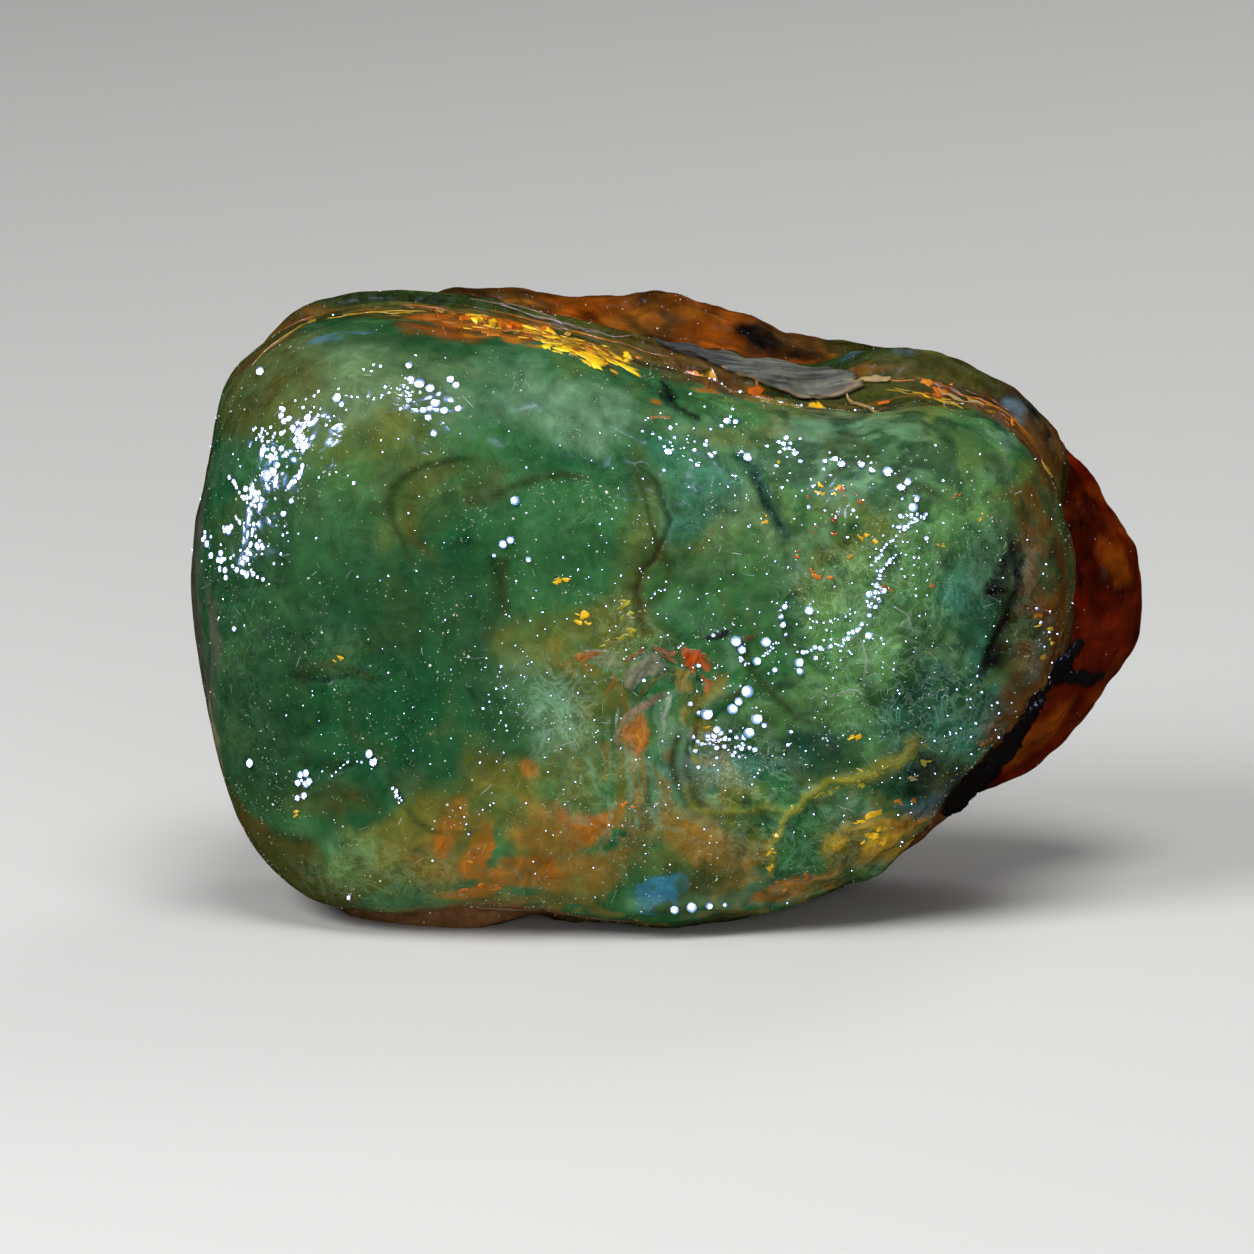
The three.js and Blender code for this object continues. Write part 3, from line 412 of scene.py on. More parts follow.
# Thin films close under the skin of the front: a colour, its strength, how far in it fades, and the (x, z)
# outline.
FILMS = [
    ("ochre", 0.55, 0.9, [(0.3, 19.3), (1.1, 19.2), (1.6, 18.4), (1.7, 17.3), (0.6, 17.1), (0.2, 17.9)]),
    ("flame", 1.0, 0.3, [(0.7, 19.3), (0.65, 20.2), (0.8, 20.8), (1.3, 20.5), (2.0, 20.55), (2.5, 20.1),
     (2.85, 19.3), (2.85, 18.9), (2.5, 18.8), (2.2, 19.3), (1.8, 19.4), (1.3, 19.3), (1.0, 19.1)]),
    ("wing", 0.75, 0.6, [(-1.3, 20.6), (-0.4, 20.2), (0.2, 19.4), (-0.2, 18.9), (-1.2, 18.5), (-1.8, 18.4),
     (-2.6, 17.4), (-3.2, 17.8), (-3.4, 18.9), (-2.3, 19.8)]),
    ("wing", 0.4, 0.9, [(-5.4, 20.0), (-4.5, 20.4), (-3.3, 20.2), (-2.9, 19.2), (-3.9, 18.8),
     (-4.9, 19.2)]),
    ("orange", 0.8, 0.7, [(-3.3, 14.9), (-2.5, 15.9), (-1.9, 16.2), (-1.3, 15.9), (-1.3, 14.8),
     (-1.2, 13.9), (-1.5, 13.2), (-2.2, 12.9), (-2.9, 13.5), (-3.3, 14.2)]),
    ("dark_orange", 0.7, 0.8, [(-6.6, 19.9), (-5.2, 20.4), (-4.2, 20.3), (-4.9, 19.8), (-5.9, 19.4)]),
    ("char", 1.0, 0.2, [(2.1, 21.2), (2.4, 21.4), (2.9, 21.5), (3.6, 21.9), (4.2, 21.7), (4.2, 21.4),
     (3.4, 21.15), (2.7, 21.0)]),
    ("brown", 0.8, 0.7, [(4.7, 21.2), (5.3, 21.5), (5.8, 21.3), (5.5, 20.9), (4.9, 20.9)]),
]
# Ribbons and folds of film, and a painted highlight streak over the grey wing: a colour, its strength, the
# width and the (x, z) route.
RIBBONS = [
    ("brown", 0.5, 0.7, [(0.4, 19.4), (-0.2, 18.8), (-1.3, 18.2), (-2.2, 17.1), (-2.5, 16.3)]),
    ("brown", 0.4, 0.5, [(0.4, 19.4), (0.2, 18.6), (0.1, 17.9)]),
    ("flame", 1.0, 0.45, [(1.1, 20.0), (1.4, 19.4), (1.7, 18.7)]),
    ("flame", 0.9, 0.3, [(2.1, 18.8), (2.3, 18.4), (2.6, 18.2), (3.0, 18.0)]),
    ("flame", 0.9, 0.4, [(2.6, 18.4), (2.5, 17.8), (2.4, 17.3)]),
    ("deep_green", 0.9, 0.4, [(1.75, 19.4), (1.9, 18.4), (2.1, 17.7), (2.2, 17.1)]),
    ("blush", 0.85, 0.6, [(-1.3, 20.8), (-0.6, 20.4), (0.0, 19.9), (0.6, 19.4)]),
    ("blush", 0.8, 0.55, [(0.6, 20.4), (0.1, 20.2), (-0.6, 20.45), (-1.3, 20.8)]),
    ("blush", 0.6, 0.4, [(-1.5, 20.6), (-2.3, 20.0), (-3.3, 19.3)]),
    # A painted highlight streak along the grey wing.
    ("fold", 0.7, 0.4, [(-1.6, 19.1), (-2.1, 18.7), (-2.3, 18.1), (-2.6, 17.4)]),
    ("film_tail", 0.9, 0.9, [(0.2, 17.7), (-0.4, 17.2), (-1.3, 16.8), (-2.1, 16.3), (-2.8, 15.8),
     (-3.2, 15.4), (-3.4, 14.8)]),
    ("film_tail", 0.7, 0.5, [(-3.4, 15.2), (-3.6, 14.3), (-3.4, 13.7)]),
    ("fold", 0.5, 0.6, [(0.2, 17.6), (-0.1, 16.7), (-0.4, 15.8), (-0.4, 14.6)]),
    ("fold", 0.4, 0.4, [(-3.4, 16.5), (-3.6, 15.6), (-3.6, 14.8)]),
    ("tan", 0.4, 0.3, [(-3.3, 21.2), (-2.9, 21.8), (-2.3, 22.6)]),
    ("tan", 0.4, 0.25, [(-3.8, 20.8), (-3.2, 21.0), (-2.6, 21.6)]),
    ("flame", 0.5, 0.3, [(-3.6, 18.9), (-3.9, 18.0), (-4.4, 17.2)]),
    ("fold", 0.4, 0.5, [(1.4, 15.2), (1.3, 14.0), (1.7, 12.8)]),
    ("moss", 0.5, 0.4, [(2.0, 14.2), (1.6, 13.0), (2.0, 12.0)]),
    ("fold", 0.5, 0.3, [(12.6, 21.5), (13.2, 19.6), (12.8, 17.9)]),
    ("fold", 0.4, 0.25, [(14.6, 23.5), (15.9, 22.6), (16.4, 21)]),
    ("fold", 0.35, 0.25, [(9.2, 18), (10.6, 17.2), (12.2, 17.6), (13.4, 17.2)]),
    ("orange", 0.9, 0.5, [(2.2, 36.0), (2.8, 36.6), (3.7, 36.6), (4.4, 36.1)]),
    ("orange", 0.7, 0.4, [(-1.6, 35.3), (-0.7, 35.3), (0.2, 35.2)]),
]


def linear(hex_colour):
    """The linear colour of an sRGB hex value."""
    srgb = [int(hex_colour[i : i + 2], 16) / 255 for i in (1, 3, 5)]
    return [c / 12.92 if c <= 0.04045 else ((c + 0.055) / 1.055) ** 2.4 for c in srgb] + [1.0]


def length(name, description, default):
    """A property for a length, in metres."""
    return FloatProperty(name=name, description=description, default=default, unit="LENGTH", min=0)


def colour(name, description, hex_colour):
    """A property for a colour, from its sRGB hex value."""
    return FloatVectorProperty(
        name=name, description=description, default=linear(hex_colour), subtype="COLOR", size=4, min=0, max=1
    )


class AmberSizes(bpy.types.PropertyGroup):
    """Sizes that a user would change."""

    # The real pits are about 0.6 mm apart, which is too fine to show, so they are drawn coarser.
    pit_pitch: length("Pit pitch", "Distance between the orange-peel pits of the skin", 0.0011)
    mottle: length("Mottle", "Size of the cloudy patches in the amber", 0.0016)
    bark_thickness: length("Bark thickness", "Thickness of the bark splinter", 0.0006)
    camera_distance: length("Camera distance", "From the camera to the lump", 0.8)
    speck: length("Speck", "Typical width of a speck of dust", 0.000068)
    rows: IntProperty(name="Rows", description="Rows of faces over the front", default=170, min=20)
    columns: IntProperty(name="Columns", description="Faces round the lump", default=550, min=40)
    flakes: IntProperty(name="Flakes", description="How many flakes lie in the seam", default=210, min=1)
    scratches: IntProperty(name="Scratches", description="How many scratches are tried", default=800, min=1)
    specks: IntProperty(name="Specks", description="How many specks of dust are tried", default=8000, min=1)


class AmberColours(bpy.types.PropertyGroup):
    """Colours of the amber and of what is in it."""

    green: colour("Green", "Body of the front lobe", "#34683a")
    emerald: colour("Emerald", "Clear, cool green at the left", "#194e2d")
    deep_green: colour("Deep green", "Deeper parts of the lobe", "#23482a")
    leaf: colour("Leaf green", "Warm green at the right", "#527d45")
    pale_green: colour("Pale green", "Hazy parts of the lobe", "#688d6c")
    haze_green: colour("Haze green", "Cool haze high on the right", "#6f9481")
    teal: colour("Teal", "Hollows at the right", "#37705a")
    teal_dark: colour("Dark teal", "Deepest hollows", "#1c4636")
    olive: colour("Olive", "Between the green and the ochre", "#696c2b")
    grey_olive: colour("Grey olive", "Weathered skin at the sides", "#57574a")
    # Dark olive is also the painted shade along the scars' rims.
    dark_olive: colour("Dark olive", "Thin flow over the top", "#2f3e18")
    olive_brown: colour("Olive brown", "Stained skin and seams", "#4a4a1c")
    ochre: colour("Ochre", "Oxidised patches low on the front", "#94702a")
    orange: colour("Orange", "Brightest oxidised patches", "#ab661c")
    gold: colour("Gold", "Flashes of clear yellow resin", "#e3b321")
    tan: colour("Tan", "Pale, scratched crust", "#a1946a")
    brown: colour("Brown", "Flow layer and lip", "#5f3d18")
    dark_orange: colour("Dark orange", "Glowing parts of the back slab", "#a2500d")
    red_brown: colour("Red brown", "Thin lobe of the back slab", "#6b1d04")
    # On the flow layer and the slab, blue grey is painted blue sheen.
    blue_grey: colour("Blue grey", "Cool haze over thin flows", "#4f7686")
    # Blue is a painted blue reflection; it is used only for the patch low on the front.
    blue: colour("Blue", "Bluish flash low on the front", "#3f86a3")
    slate: colour("Slate", "Dark mineral crust", "#2c3a44")
    dark: colour("Dark", "Debris in cracks and pits", "#0d1210")
    flame: colour("Flame", "Orange-red films under the skin", "#ad4710")
    wing: colour("Wing", "Grey film under the skin", "#85806c")
    film_tail: colour("Film tail", "Grey-brown tail of the film", "#86735b")
    fold: colour("Fold", "Pale folds of the films", "#9ba596")
    # Pale folds of the films; on the grey wing this colour is a painted highlight streak.
    char: colour("Char", "Black plant debris", "#0b0b0c")
    moss: colour("Moss", "Yellow-green veins and crumbs", "#93902c")
    # Lip: its own brown, painted lighter and pinker as a highlight along its edge.
    lip: colour("Lip", "Thin brown lip under the front", "#7d5532")
    blush: colour("Blush", "Pinkish film under the skin", "#9a4d38")
    dark_red: colour("Dark red", "Thickest part of the back slab's lobe", "#3d0d03")


def smooth(low, high, value):
    """0 under low, 1 over high, and a cubic step between."""
    t = np.clip((value - low) / (high - low), 0, 1)
    return t * t * (3 - 2 * t)


def noise(points, size, seed, octaves=1):
    """Smooth random values, about -1 to 1, on a lattice of the given size; each octave is half the last.

    Each lattice corner has a value from a table, and the values are blended along x, then y, then z.
    """
    table = np.random.default_rng(seed).uniform(-1, 1, TABLE_SIZE)
    total, weight = 0.0, 0.0
    for octave in range(octaves):
        place = points / (size / 2**octave) + OCTAVE_SHIFT * octave
        cell = np.floor(place)
        f = place - cell
        f = f * f * f * (f * (f * 6 - 15) + 10)
        key = cell.astype(np.int64) * LATTICE_KEYS
        x, y, z = ((key[..., k], key[..., k] + LATTICE_KEYS[k]) for k in range(3))
        planes = []
        for z_key in z:
            rows = []
            for y_key in y:
                low, high = (table[(x_key + y_key + z_key) & (TABLE_SIZE - 1)] for x_key in x)
                rows.append(low + (high - low) * f[..., 0])
            planes.append(rows[0] + (rows[1] - rows[0]) * f[..., 1])
        value = planes[0] + (planes[1] - planes[0]) * f[..., 2]
        total, weight = total + value * NOISE_GAIN / 2**octave, weight + 1 / 2**octave
    return total / weight


def closed_curve(degrees, values):
    """A smooth closed curve through values given at angles: a cubic between each two."""
    order = np.argsort(np.mod(degrees, 360))
    at = np.radians(np.mod(degrees, 360))[order]
    values = np.array(values, float)[order]
    span = np.mod(np.roll(at, -1) - at, TURN)
    slope = (np.roll(values, -1) - np.roll(values, 1)) / (span + np.roll(span, 1))

    def curve(turn):
        a = np.mod(turn, TURN)
        i = (np.searchsorted(at, a, side="right") - 1) % len(at)
        j = (i + 1) % len(at)
        h = span[i]
        s = np.mod(a - at[i], TURN) / h
        rise = (s**3 - 2 * s**2 + s) * slope[i] * h + (s**3 - s**2) * slope[j] * h
        return (2 * s**3 - 3 * s**2 + 1) * values[i] + (3 * s**2 - 2 * s**3) * values[j] + rise

    return curve


def outline_radius(outline):
    """The radius of an outline's (x, z) points round the lump's line, as a smooth closed curve."""
    x, z = np.array(outline, float).T
    z = z - AXIS_HEIGHT
    return closed_curve(np.degrees(np.arctan2(z, x)), np.hypot(x, z))


RADII = [outline_radius(outline) for outline in (LOBE_OUTLINE, FLOW_OUTLINE, SLAB_OUTLINE)]
RIM_CURVES = [closed_curve(np.array(RIMS)[:, 0], np.array(RIMS)[:, k]) for k in range(1, 6)]


def skin(turn, along):
    """A point of the lump's plain skin.

    turn goes round the Y axis from +X, and along goes from the middle of the front to the middle of the back.
    The front and the back are superellipse caps on their rims, and between rims the radius goes over in a
    cubic step with a groove taken from it.
    """
    r1, r2, r3 = (radius(turn) for radius in RADII)
    y1, y2, y3, groove_1, groove_2 = (curve(turn) for curve in RIM_CURVES)
    f = np.clip(along / LOBE_RIM, 0, 1) * math.pi / 2
    r = r1 * np.sin(f) ** (2 / FRONT_SQUARENESS)
    y = y1 - (DEPTH / 2 + y1) * np.clip(np.cos(f), 0, 1) ** (2 / FRONT_SQUARENESS)
    for start, end, ra, rb, ya, yb, groove in (
        (LOBE_RIM, FLOW_RIM, r1, r2, y1, y2, groove_1),
        (FLOW_RIM, SLAB_RIM, r2, r3, y2, y3, groove_2),
    ):
        s = np.clip((along - start) / (end - start), 0, 1)
        past = along > start
        r = np.where(past, ra + (rb - ra) * s * s * (3 - 2 * s) - groove * np.sin(math.pi * s) ** 2, r)
        y = np.where(past, ya + (yb - ya) * s, y)
    f = np.clip((along - SLAB_RIM) / (1 - SLAB_RIM), 0, 1) * math.pi / 2
    r = np.where(along > SLAB_RIM, r3 * np.clip(np.cos(f), 0, 1) ** (2 / BACK_SQUARENESS), r)
    y = np.where(along > SLAB_RIM, y3 + (DEPTH / 2 - y3) * np.sin(f) ** (2 / BACK_SQUARENESS), y)
    x, z = r * np.cos(turn), AXIS_HEIGHT + r * np.sin(turn)
    for hx, hz, radius, depth, face in HOLLOWS:
        near = np.exp(-((x - hx) ** 2 + (z - hz) ** 2) / radius**2)
        y = y - face * depth * near * np.clip(face * y / HOLLOW_FADE, 0, 1)
    return np.stack([x, y, z], axis=-1)


def outward(turn, along):
    """The outward direction of the plain skin: the cross product of its two small steps."""
    round_ = skin(turn + STEP, along) - skin(turn - STEP, along)
    back = skin(turn, np.minimum(along + STEP, 1)) - skin(turn, np.maximum(along - STEP, 0))
    normal = np.cross(back, round_)
    return normal / np.maximum(np.linalg.norm(normal, axis=-1, keepdims=True), 1e-12)


def surface(turn, along, lift=0.0):
    """A point of the real skin: the plain skin moved outwards by the relief and by lift."""
    plain = skin(turn, along)
    points = plain + outward(turn, along) * (relief(plain, turn, along) + lift)[..., None]
    points[..., 2] = np.maximum(points[..., 2], 0)
    return points


def on_face(x, z):
    """turn and along of the front's point at x and z: the front cap's radius formula solved for along."""
    x, z = np.asarray(x, float), np.asarray(z, float) - AXIS_HEIGHT
    turn = np.arctan2(z, x)
    share = np.clip(np.hypot(x, z) / RADII[0](turn), 0, 1)
    return turn, LOBE_RIM * np.arcsin(share ** (FRONT_SQUARENESS / 2)) / (math.pi / 2)


def even_rows(start, end, count):
    """Shares of the way from start to end, spaced evenly along the skin.

    They are worked out on the mean of 12 ways from the front to the back.
    """
    along = np.linspace(start, end, 4000)
    paths = [skin(np.full_like(along, turn), along) for turn in np.linspace(0, TURN, 12, endpoint=False)]
    steps = np.mean([np.linalg.norm(np.diff(path, axis=0), axis=1) for path in paths], axis=0)
    way = np.concatenate([[0], np.cumsum(steps)])
    return np.interp(np.linspace(0, way[-1], count), way, along)


def track_distance(x, z, track):
    """The distance in the XZ plane from each point to a line through the track's points."""
    nearest = np.full(x.shape, 1e9)
    for (ax, az), (bx, bz) in zip(track, track[1:]):
        dx, dz = bx - ax, bz - az
        t = np.clip(((x - ax) * dx + (z - az) * dz) / (dx * dx + dz * dz), 0, 1)
        nearest = np.minimum(nearest, np.hypot(x - ax - t * dx, z - az - t * dz))
    return nearest


def warped(points, seed, near=0.45, far=1.3):
    """x and z pushed about by up to far mm of broad noise and near mm of fine noise, for ragged edges."""
    push = [far * noise(points, 5, seed + k) + near * noise(points, 1.6, seed + 10 + k, 3) for k in (0, 1)]
    return points[..., 0] + push[0], points[..., 2] + push[1]


def scars(points):
    """How deep the fracture scars are, and where their rims run.

    Each scar drops sharply inside its rim, and rises towards its middle as an exponential of its reach. Its
    rim is 0.3 mm wide and fades out at its first and last degrees.
    """
    x, z = warped(points, 40, 0.12, 0.7)
    depth, rims = 0.0, 0.0
    for cx, cz, radius, first, last, deep, reach in SCARS:
        away = np.hypot(x - cx, z - cz)
        middle, half = math.radians((first + last) / 2), math.radians((last - first) / 2)
        off = np.abs(np.mod(np.arctan2(z - cz, x - cx) - middle + math.pi, TURN) - math.pi)
        rim = 1 - smooth(0.75, 1.1, off / half)
        inside = 1 - smooth(radius - 0.35, radius + 0.25, away)
        depth = depth + deep * inside * np.exp(-np.maximum(radius - away, 0) / reach) * rim
        rims = np.maximum(rims, rim * np.exp(-(((away - radius) / 0.3) ** 2)))
    return depth, rims


def line_masks(points):
    """How much each point belongs to each of the lines."""
    x, z = warped(points, 60, 0.18, 0.3)
    return [np.exp(-((track_distance(x, z, line[0]) / line[1]) ** 2)) for line in LINES]


def drawn_out(turn, along, fineness):
    """Where to take noise, so that it is drawn out round the lump in stripes as fine as fineness says."""
    return np.stack([np.cos(turn) * 6, np.sin(turn) * 6, along * fineness], axis=-1)


def relief(points, turn, along):
    """How far the real skin stands out of the plain one, in millimetres.

    Three noises make lumps 9, 3.6 and 1.5 mm across, and one that is drawn out round the lump makes the flow
    layer's folds. The front has its lines, knobs, scars and orange peel, and the back is broken into facets
    whose edges run where two noises are equal.
    """
    right = smooth(-10, 10, points[..., 0])
    behind = smooth(0.6, 0.72, along)
    rough = np.maximum(0.35 + 0.65 * right, behind)
    height = 0.28 * noise(points, 9, 1) + 0.2 * rough * noise(points, 3.6, 2)
    height = height + 0.1 * rough * noise(points, 1.5, 3, 2)
    flow = drawn_out(turn, along, 55)
    in_flow = smooth(0.46, 0.52, along) * (1 - smooth(0.76, 0.84, along))
    height = height + 0.28 * in_flow * noise(flow, 1, 5, 3)
    face = 1 - smooth(0.4, 0.46, along)
    for line, mask in zip(LINES, line_masks(points)):
        height = height + face * line[2] * mask
    for x, z, radius, high in KNOBS:
        away = ((points[..., 0] - x) ** 2 + (points[..., 2] - z) ** 2) / radius**2
        height = height + face * high * np.exp(-away)
    height = height - 0.6 * (1 - smooth(0.36, 0.46, along)) * scars(points)[0]
    height = height + 0.035 * face * zone_mask(points, PEELS, 80) * noise(points, 1.2, 14)
    back = smooth(0.8, 0.9, along)
    broken = np.abs(noise(points, 7, 8) - noise(points, 7, 9))
    return height + back * (0.5 * broken - 0.3) + 0.12 * back * noise(points, 0.9, 11, 2)


def palette():
    """The amber's colours by name, as linear RGB arrays."""
    colours = bpy.context.scene.amber_colours
    names = AmberColours.__annotations__
    return {name: np.array(getattr(colours, name))[:3] for name in names}


def blend(colours, target, mask):
    """Colours mixed towards a target, by a mask that is cut off at 0 and 1."""
    return colours + (target - colours) * np.clip(mask, 0, 1)[..., None]


def round_colours(turn, table, tones):
    """The colour round the lump, going over smoothly from each entry of the table to the next."""
    degrees = [entry[0] for entry in table]
    channels = [closed_curve(degrees, [tones[entry[1]][k] for entry in table])(turn) for k in range(3)]
    return np.clip(np.stack(channels, axis=-1), 0, 1)


def marble(points, size, seed, octaves=3):
    """Noise of points that other noise has pushed about, which swirls as resin that flowed does."""
    push = np.stack([noise(points, size * 1.4, seed + 7 * k, 2) for k in range(3)], axis=-1)
    return noise(points + 0.7 * size * push, size, seed, octaves)


def lobe_tint(points, x, z, right, tones):
    """The green lobe's colour: marbled greens, then the patches, then streaks, painted shade along the scars'
    rims, and the lines over them.

    A marbling shows a colour where its swirls are over low, and fully where they are over high, with a share
    that holds everywhere and one more on its own side of the lobe.
    """
    left, middle = 1 - smooth(-20, -6, x), 1 - smooth(0.6, 1.3, np.hypot((x + 1.5) / 8, (z - 14) / 9))
    foot = (1 - smooth(6, 15, z)) * smooth(-18, -10, x)
    streaks = np.stack([x * 1.1 + z * 0.35, points[..., 1] * 0.4, z * 0.4], axis=-1)

    def marbled(tint, *marblings):
        for tone, always, more, side, low, high, place, size, seed in marblings:
            swirls = smooth(low, high, marble(place, size, seed))
            tint = blend(tint, tones[tone], (always + more * side) * swirls)
        return tint

    tint = marbled(
        np.broadcast_to(tones["green"], points.shape),
        ("emerald", 0.3, 0.6, left, -0.3, 0.3, points, 6, 30),
        ("leaf", 0.2, 0.5, right, 0.0, 0.45, points, 4.5, 31),
        ("pale_green", 0.15, 0.5, right, 0.1, 0.55, points, 3, 32),
        ("olive", 0.2, 0.3, right, 0.1, 0.5, points, 4, 33),
    )
    mottle = 1 + 0.5 * marble(points, 1.3, 49)
    for cx, cz, rx, rz, degrees, tone, strength, soft in PATCHES:
        c, s = math.cos(math.radians(degrees)), math.sin(math.radians(degrees))
        away = np.hypot(((x - cx) * c + (z - cz) * s) / rx, ((z - cz) * c - (x - cx) * s) / rz)
        blur = 0.6 * soft
        tint = blend(tint, tones[tone], strength * mottle * (1 - smooth(1 - blur, 1 + blur, away)))
    tint = marbled(
        tint,
        ("ochre", 0, 0.45, foot, 0.15, 0.45, points, 2.2, 41),
        ("pale_green", 0, 0.6, middle, 0.15, 0.5, streaks, 1.2, 42),
        ("ochre", 0, 0.5, middle, 0.2, 0.5, streaks, 1.5, 43),
        ("deep_green", 0.2, 0.5, right, 0.1, 0.45, points, 1.7, 44),
    )
    # Painted shade: the scars' rims are darkened with dark olive, as shade along their steps.
    tint = blend(tint, tones["dark_olive"], 0.75 * scars(points)[1])
    for line, mask in zip(LINES, line_masks(points)):
        tint = blend(tint, tones[line[3]], line[4] * mask)
    return tint


def front_tint(points, turn, along):
    """The front lobe's and flow layer's colour at each point, by zones with ragged edges.

    The flow layer is striped along the lump and has two bright lines over the top. The golden flash lies over
    both: a dark ground with marbled dark orange and then orange or gold on it.
    """
    tones = palette()
    x, z = warped(points, 20)
    right = smooth(-4, 10, x)
    tint = lobe_tint(points, x, z, right, tones)
    grain = drawn_out(turn, along, 90)
    flow = round_colours(turn + 0.12 * noise(points, 3, 34, 2), FLOW_COLOURS, tones)
    flow = 0.72 * flow * (1 + 0.6 * noise(grain, 1, 35, 3) + 0.25 * noise(points, 0.8, 48, 2))[..., None]
    edge = along + 0.014 * noise(points, 2, 36, 3)
    tint = blend(tint, flow, smooth(0.468, 0.5, edge))
    top = smooth(0.2, 0.35, turn) * (1 - smooth(2.55, 2.7, turn))
    line = np.exp(-(((edge - 0.53) / 0.016) ** 2)) + 0.7 * np.exp(-(((edge - 0.585) / 0.012) ** 2))
    tint = blend(tint, tones["ochre"], 0.55 * line * top * smooth(-0.1, 0.5, noise(grain, 1.2, 37, 2)))
    tint = blend(tint, tones["orange"], 0.5 * line * top * smooth(0.2, 0.6, noise(grain, 0.9, 45, 2)))
    tint = band_patches(tint, points, turn, along, BAND_PATCHES, tones)
    for degrees, share, wide, long, dark, bright in FLASHES:
        off = np.degrees(turn) - degrees
        away = np.hypot(off / wide, (edge - share - FLASH_SLANT * off) / long)
        flash = 1 - smooth(0.7, 1.1, away + 0.35 * noise(points, 1.5, 47, 2))
        tint = blend(tint, tones[dark], 0.9 * flash)
        tint = blend(tint, tones["dark_orange"], flash * smooth(-0.1, 0.1, marble(points, 1.8, 38)))
        tint = blend(tint, tones[bright], flash * smooth(0.05, 0.15, marble(points, 1.2, 39)))
    return tint * (1 + (0.1 + 0.14 * right) * noise(points, 1.3, 46, 3))[..., None]


def band_patches(tint, points, turn, along, patches, tones):
    """The tint with patches given by turn and along blended in, their edges pushed about by noise."""
    degrees = np.degrees(turn) + 2.5 * noise(points, 2, 61, 3)
    share = along + 0.012 * noise(points, 2, 62, 3)
    mottle = 1 + 0.6 * marble(points, 0.9, 63)
    for middle, at, wide, long, tone, strength in patches:
        off = np.mod(degrees - middle + 180, 360) - 180
        away = np.hypot(off / wide, (share - at) / long)
        tint = blend(tint, tones[tone], strength * mottle * (1 - smooth(0.6, 1.25, away)))
    return tint


def slab_tint(points, turn, along):
    """The back slab's colour at each point."""
    tones = palette()
    tint = round_colours(turn + 0.2 * noise(points, 4, 50, 2), SLAB_COLOURS, tones)
    behind = smooth(0.82, 0.9, along + 0.03 * noise(points, 5, 51, 2))
    tint = blend(tint, tones["brown"], 0.6 * behind)
    tint = blend(tint, tones["dark_olive"], 0.7 * behind * smooth(0, 0.6, noise(points, 6, 52, 3)))
    # Painted glow: the slab's upper part is painted dark orange, lighter than below.
    high = smooth(18, 30, points[..., 2])
    tint = blend(tint, tones["dark_orange"], 0.6 * smooth(0.15, 0.6, noise(points, 3, 53, 3)) * high)
    tint = band_patches(tint, points, turn, along, SLAB_PATCHES, tones)
    return 0.72 * tint * (1 + 0.65 * noise(points, 1.4, 54, 4))[..., None]


def zone_mask(points, zones, seed):
    """How much of a finish there is at each point, from soft ellipses with ragged edges."""
    x, z = warped(points, seed)
    mask = np.zeros(x.shape)
    for cx, cz, rx, rz, amount in zones:
        away = np.hypot((x - cx) / rx, (z - cz) / rz)
        mask = np.maximum(mask, amount * (1 - smooth(0.55, 1.3, away)))
    return mask


def front_finish(points, along):
    """How hazy, how orange-peeled and how dull the front lobe and the flow layer are, in three channels."""
    side = smooth(0.42, 0.48, along)
    haze = np.maximum(zone_mask(points, HAZES, 70), 0.12 * side)
    peel = zone_mask(points, PEELS, 80) * (1 - side) + 0.12 * side
    dry = np.maximum(side, 0.985 * (1 - smooth(0.1, 0.6, peel)))
    return np.stack([haze, peel, dry], axis=-1)


def add_node(tree, kind, settings=None, links=None):
    """Add a node: settings go to its properties or to its inputs by name or number, and links join inputs."""
    made = tree.nodes.new(kind)
    for key, value in (settings or {}).items():
        if isinstance(key, str) and hasattr(made, key):
            setattr(made, key, value)
        else:
            made.inputs[key].default_value = value
    for key, source in (links or {}).items():
        tree.links.new(source, made.inputs[key])
    return made


def new_material(name):
    """An empty material with its output node."""
    material = bpy.data.materials.new(name)
    material.use_nodes = True
    material.node_tree.nodes.clear()
    return material, material.node_tree, material.node_tree.nodes.new("ShaderNodeOutputMaterial")


def grid_faces(rows, columns):
    """The faces of a grid of closed rows, as quads, and as fans to a point that closes each end."""
    i, j = np.meshgrid(np.arange(rows - 1), np.arange(columns), indexing="ij")
    k = (j + 1) % columns
    this, next_ = i * columns, (i + 1) * columns
    quads = np.stack([this + j, next_ + j, next_ + k, this + k], axis=-1)
    ring = np.arange(columns)
    after = (ring + 1) % columns
    end, count = (rows - 1) * columns, rows * columns
    first = np.stack([np.full(columns, count), ring, after], axis=1)
    last = np.stack([end + ring, np.full(columns, count + 1), end + after], axis=1)
    return quads.reshape(-1, 4), np.concatenate([first, last])


def set_colours(mesh, name, colours):
    """Give a mesh's points a colour attribute."""
    layer = mesh.color_attributes.new(name, "FLOAT_COLOR", "POINT")
    rgb = np.asarray(colours, float).reshape(-1, 3)
    layer.data.foreach_set("color", np.column_stack([rgb, np.ones(len(rgb))]).astype(np.float32).ravel())


def add_piece(name, points, faces, material, slot, stands_for=(), **attributes):
    """Make a mesh piece that rides on the lump's body, from points in millimetres and colour attributes."""
    mesh = bpy.data.meshes.new(name)
    mesh.from_pydata((np.asarray(points).reshape(-1, 3) * MM).tolist(), [], faces)
    mesh.shade_smooth()
    for key, colours in attributes.items():
        set_colours(mesh, key, colours)
    mesh.materials.append(material)
    piece = bpy.data.objects.new(name, mesh)
    bpy.context.scene.collection.objects.link(piece)
    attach(piece, "root")
    if stands_for:
        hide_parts(*stands_for)
    return piece


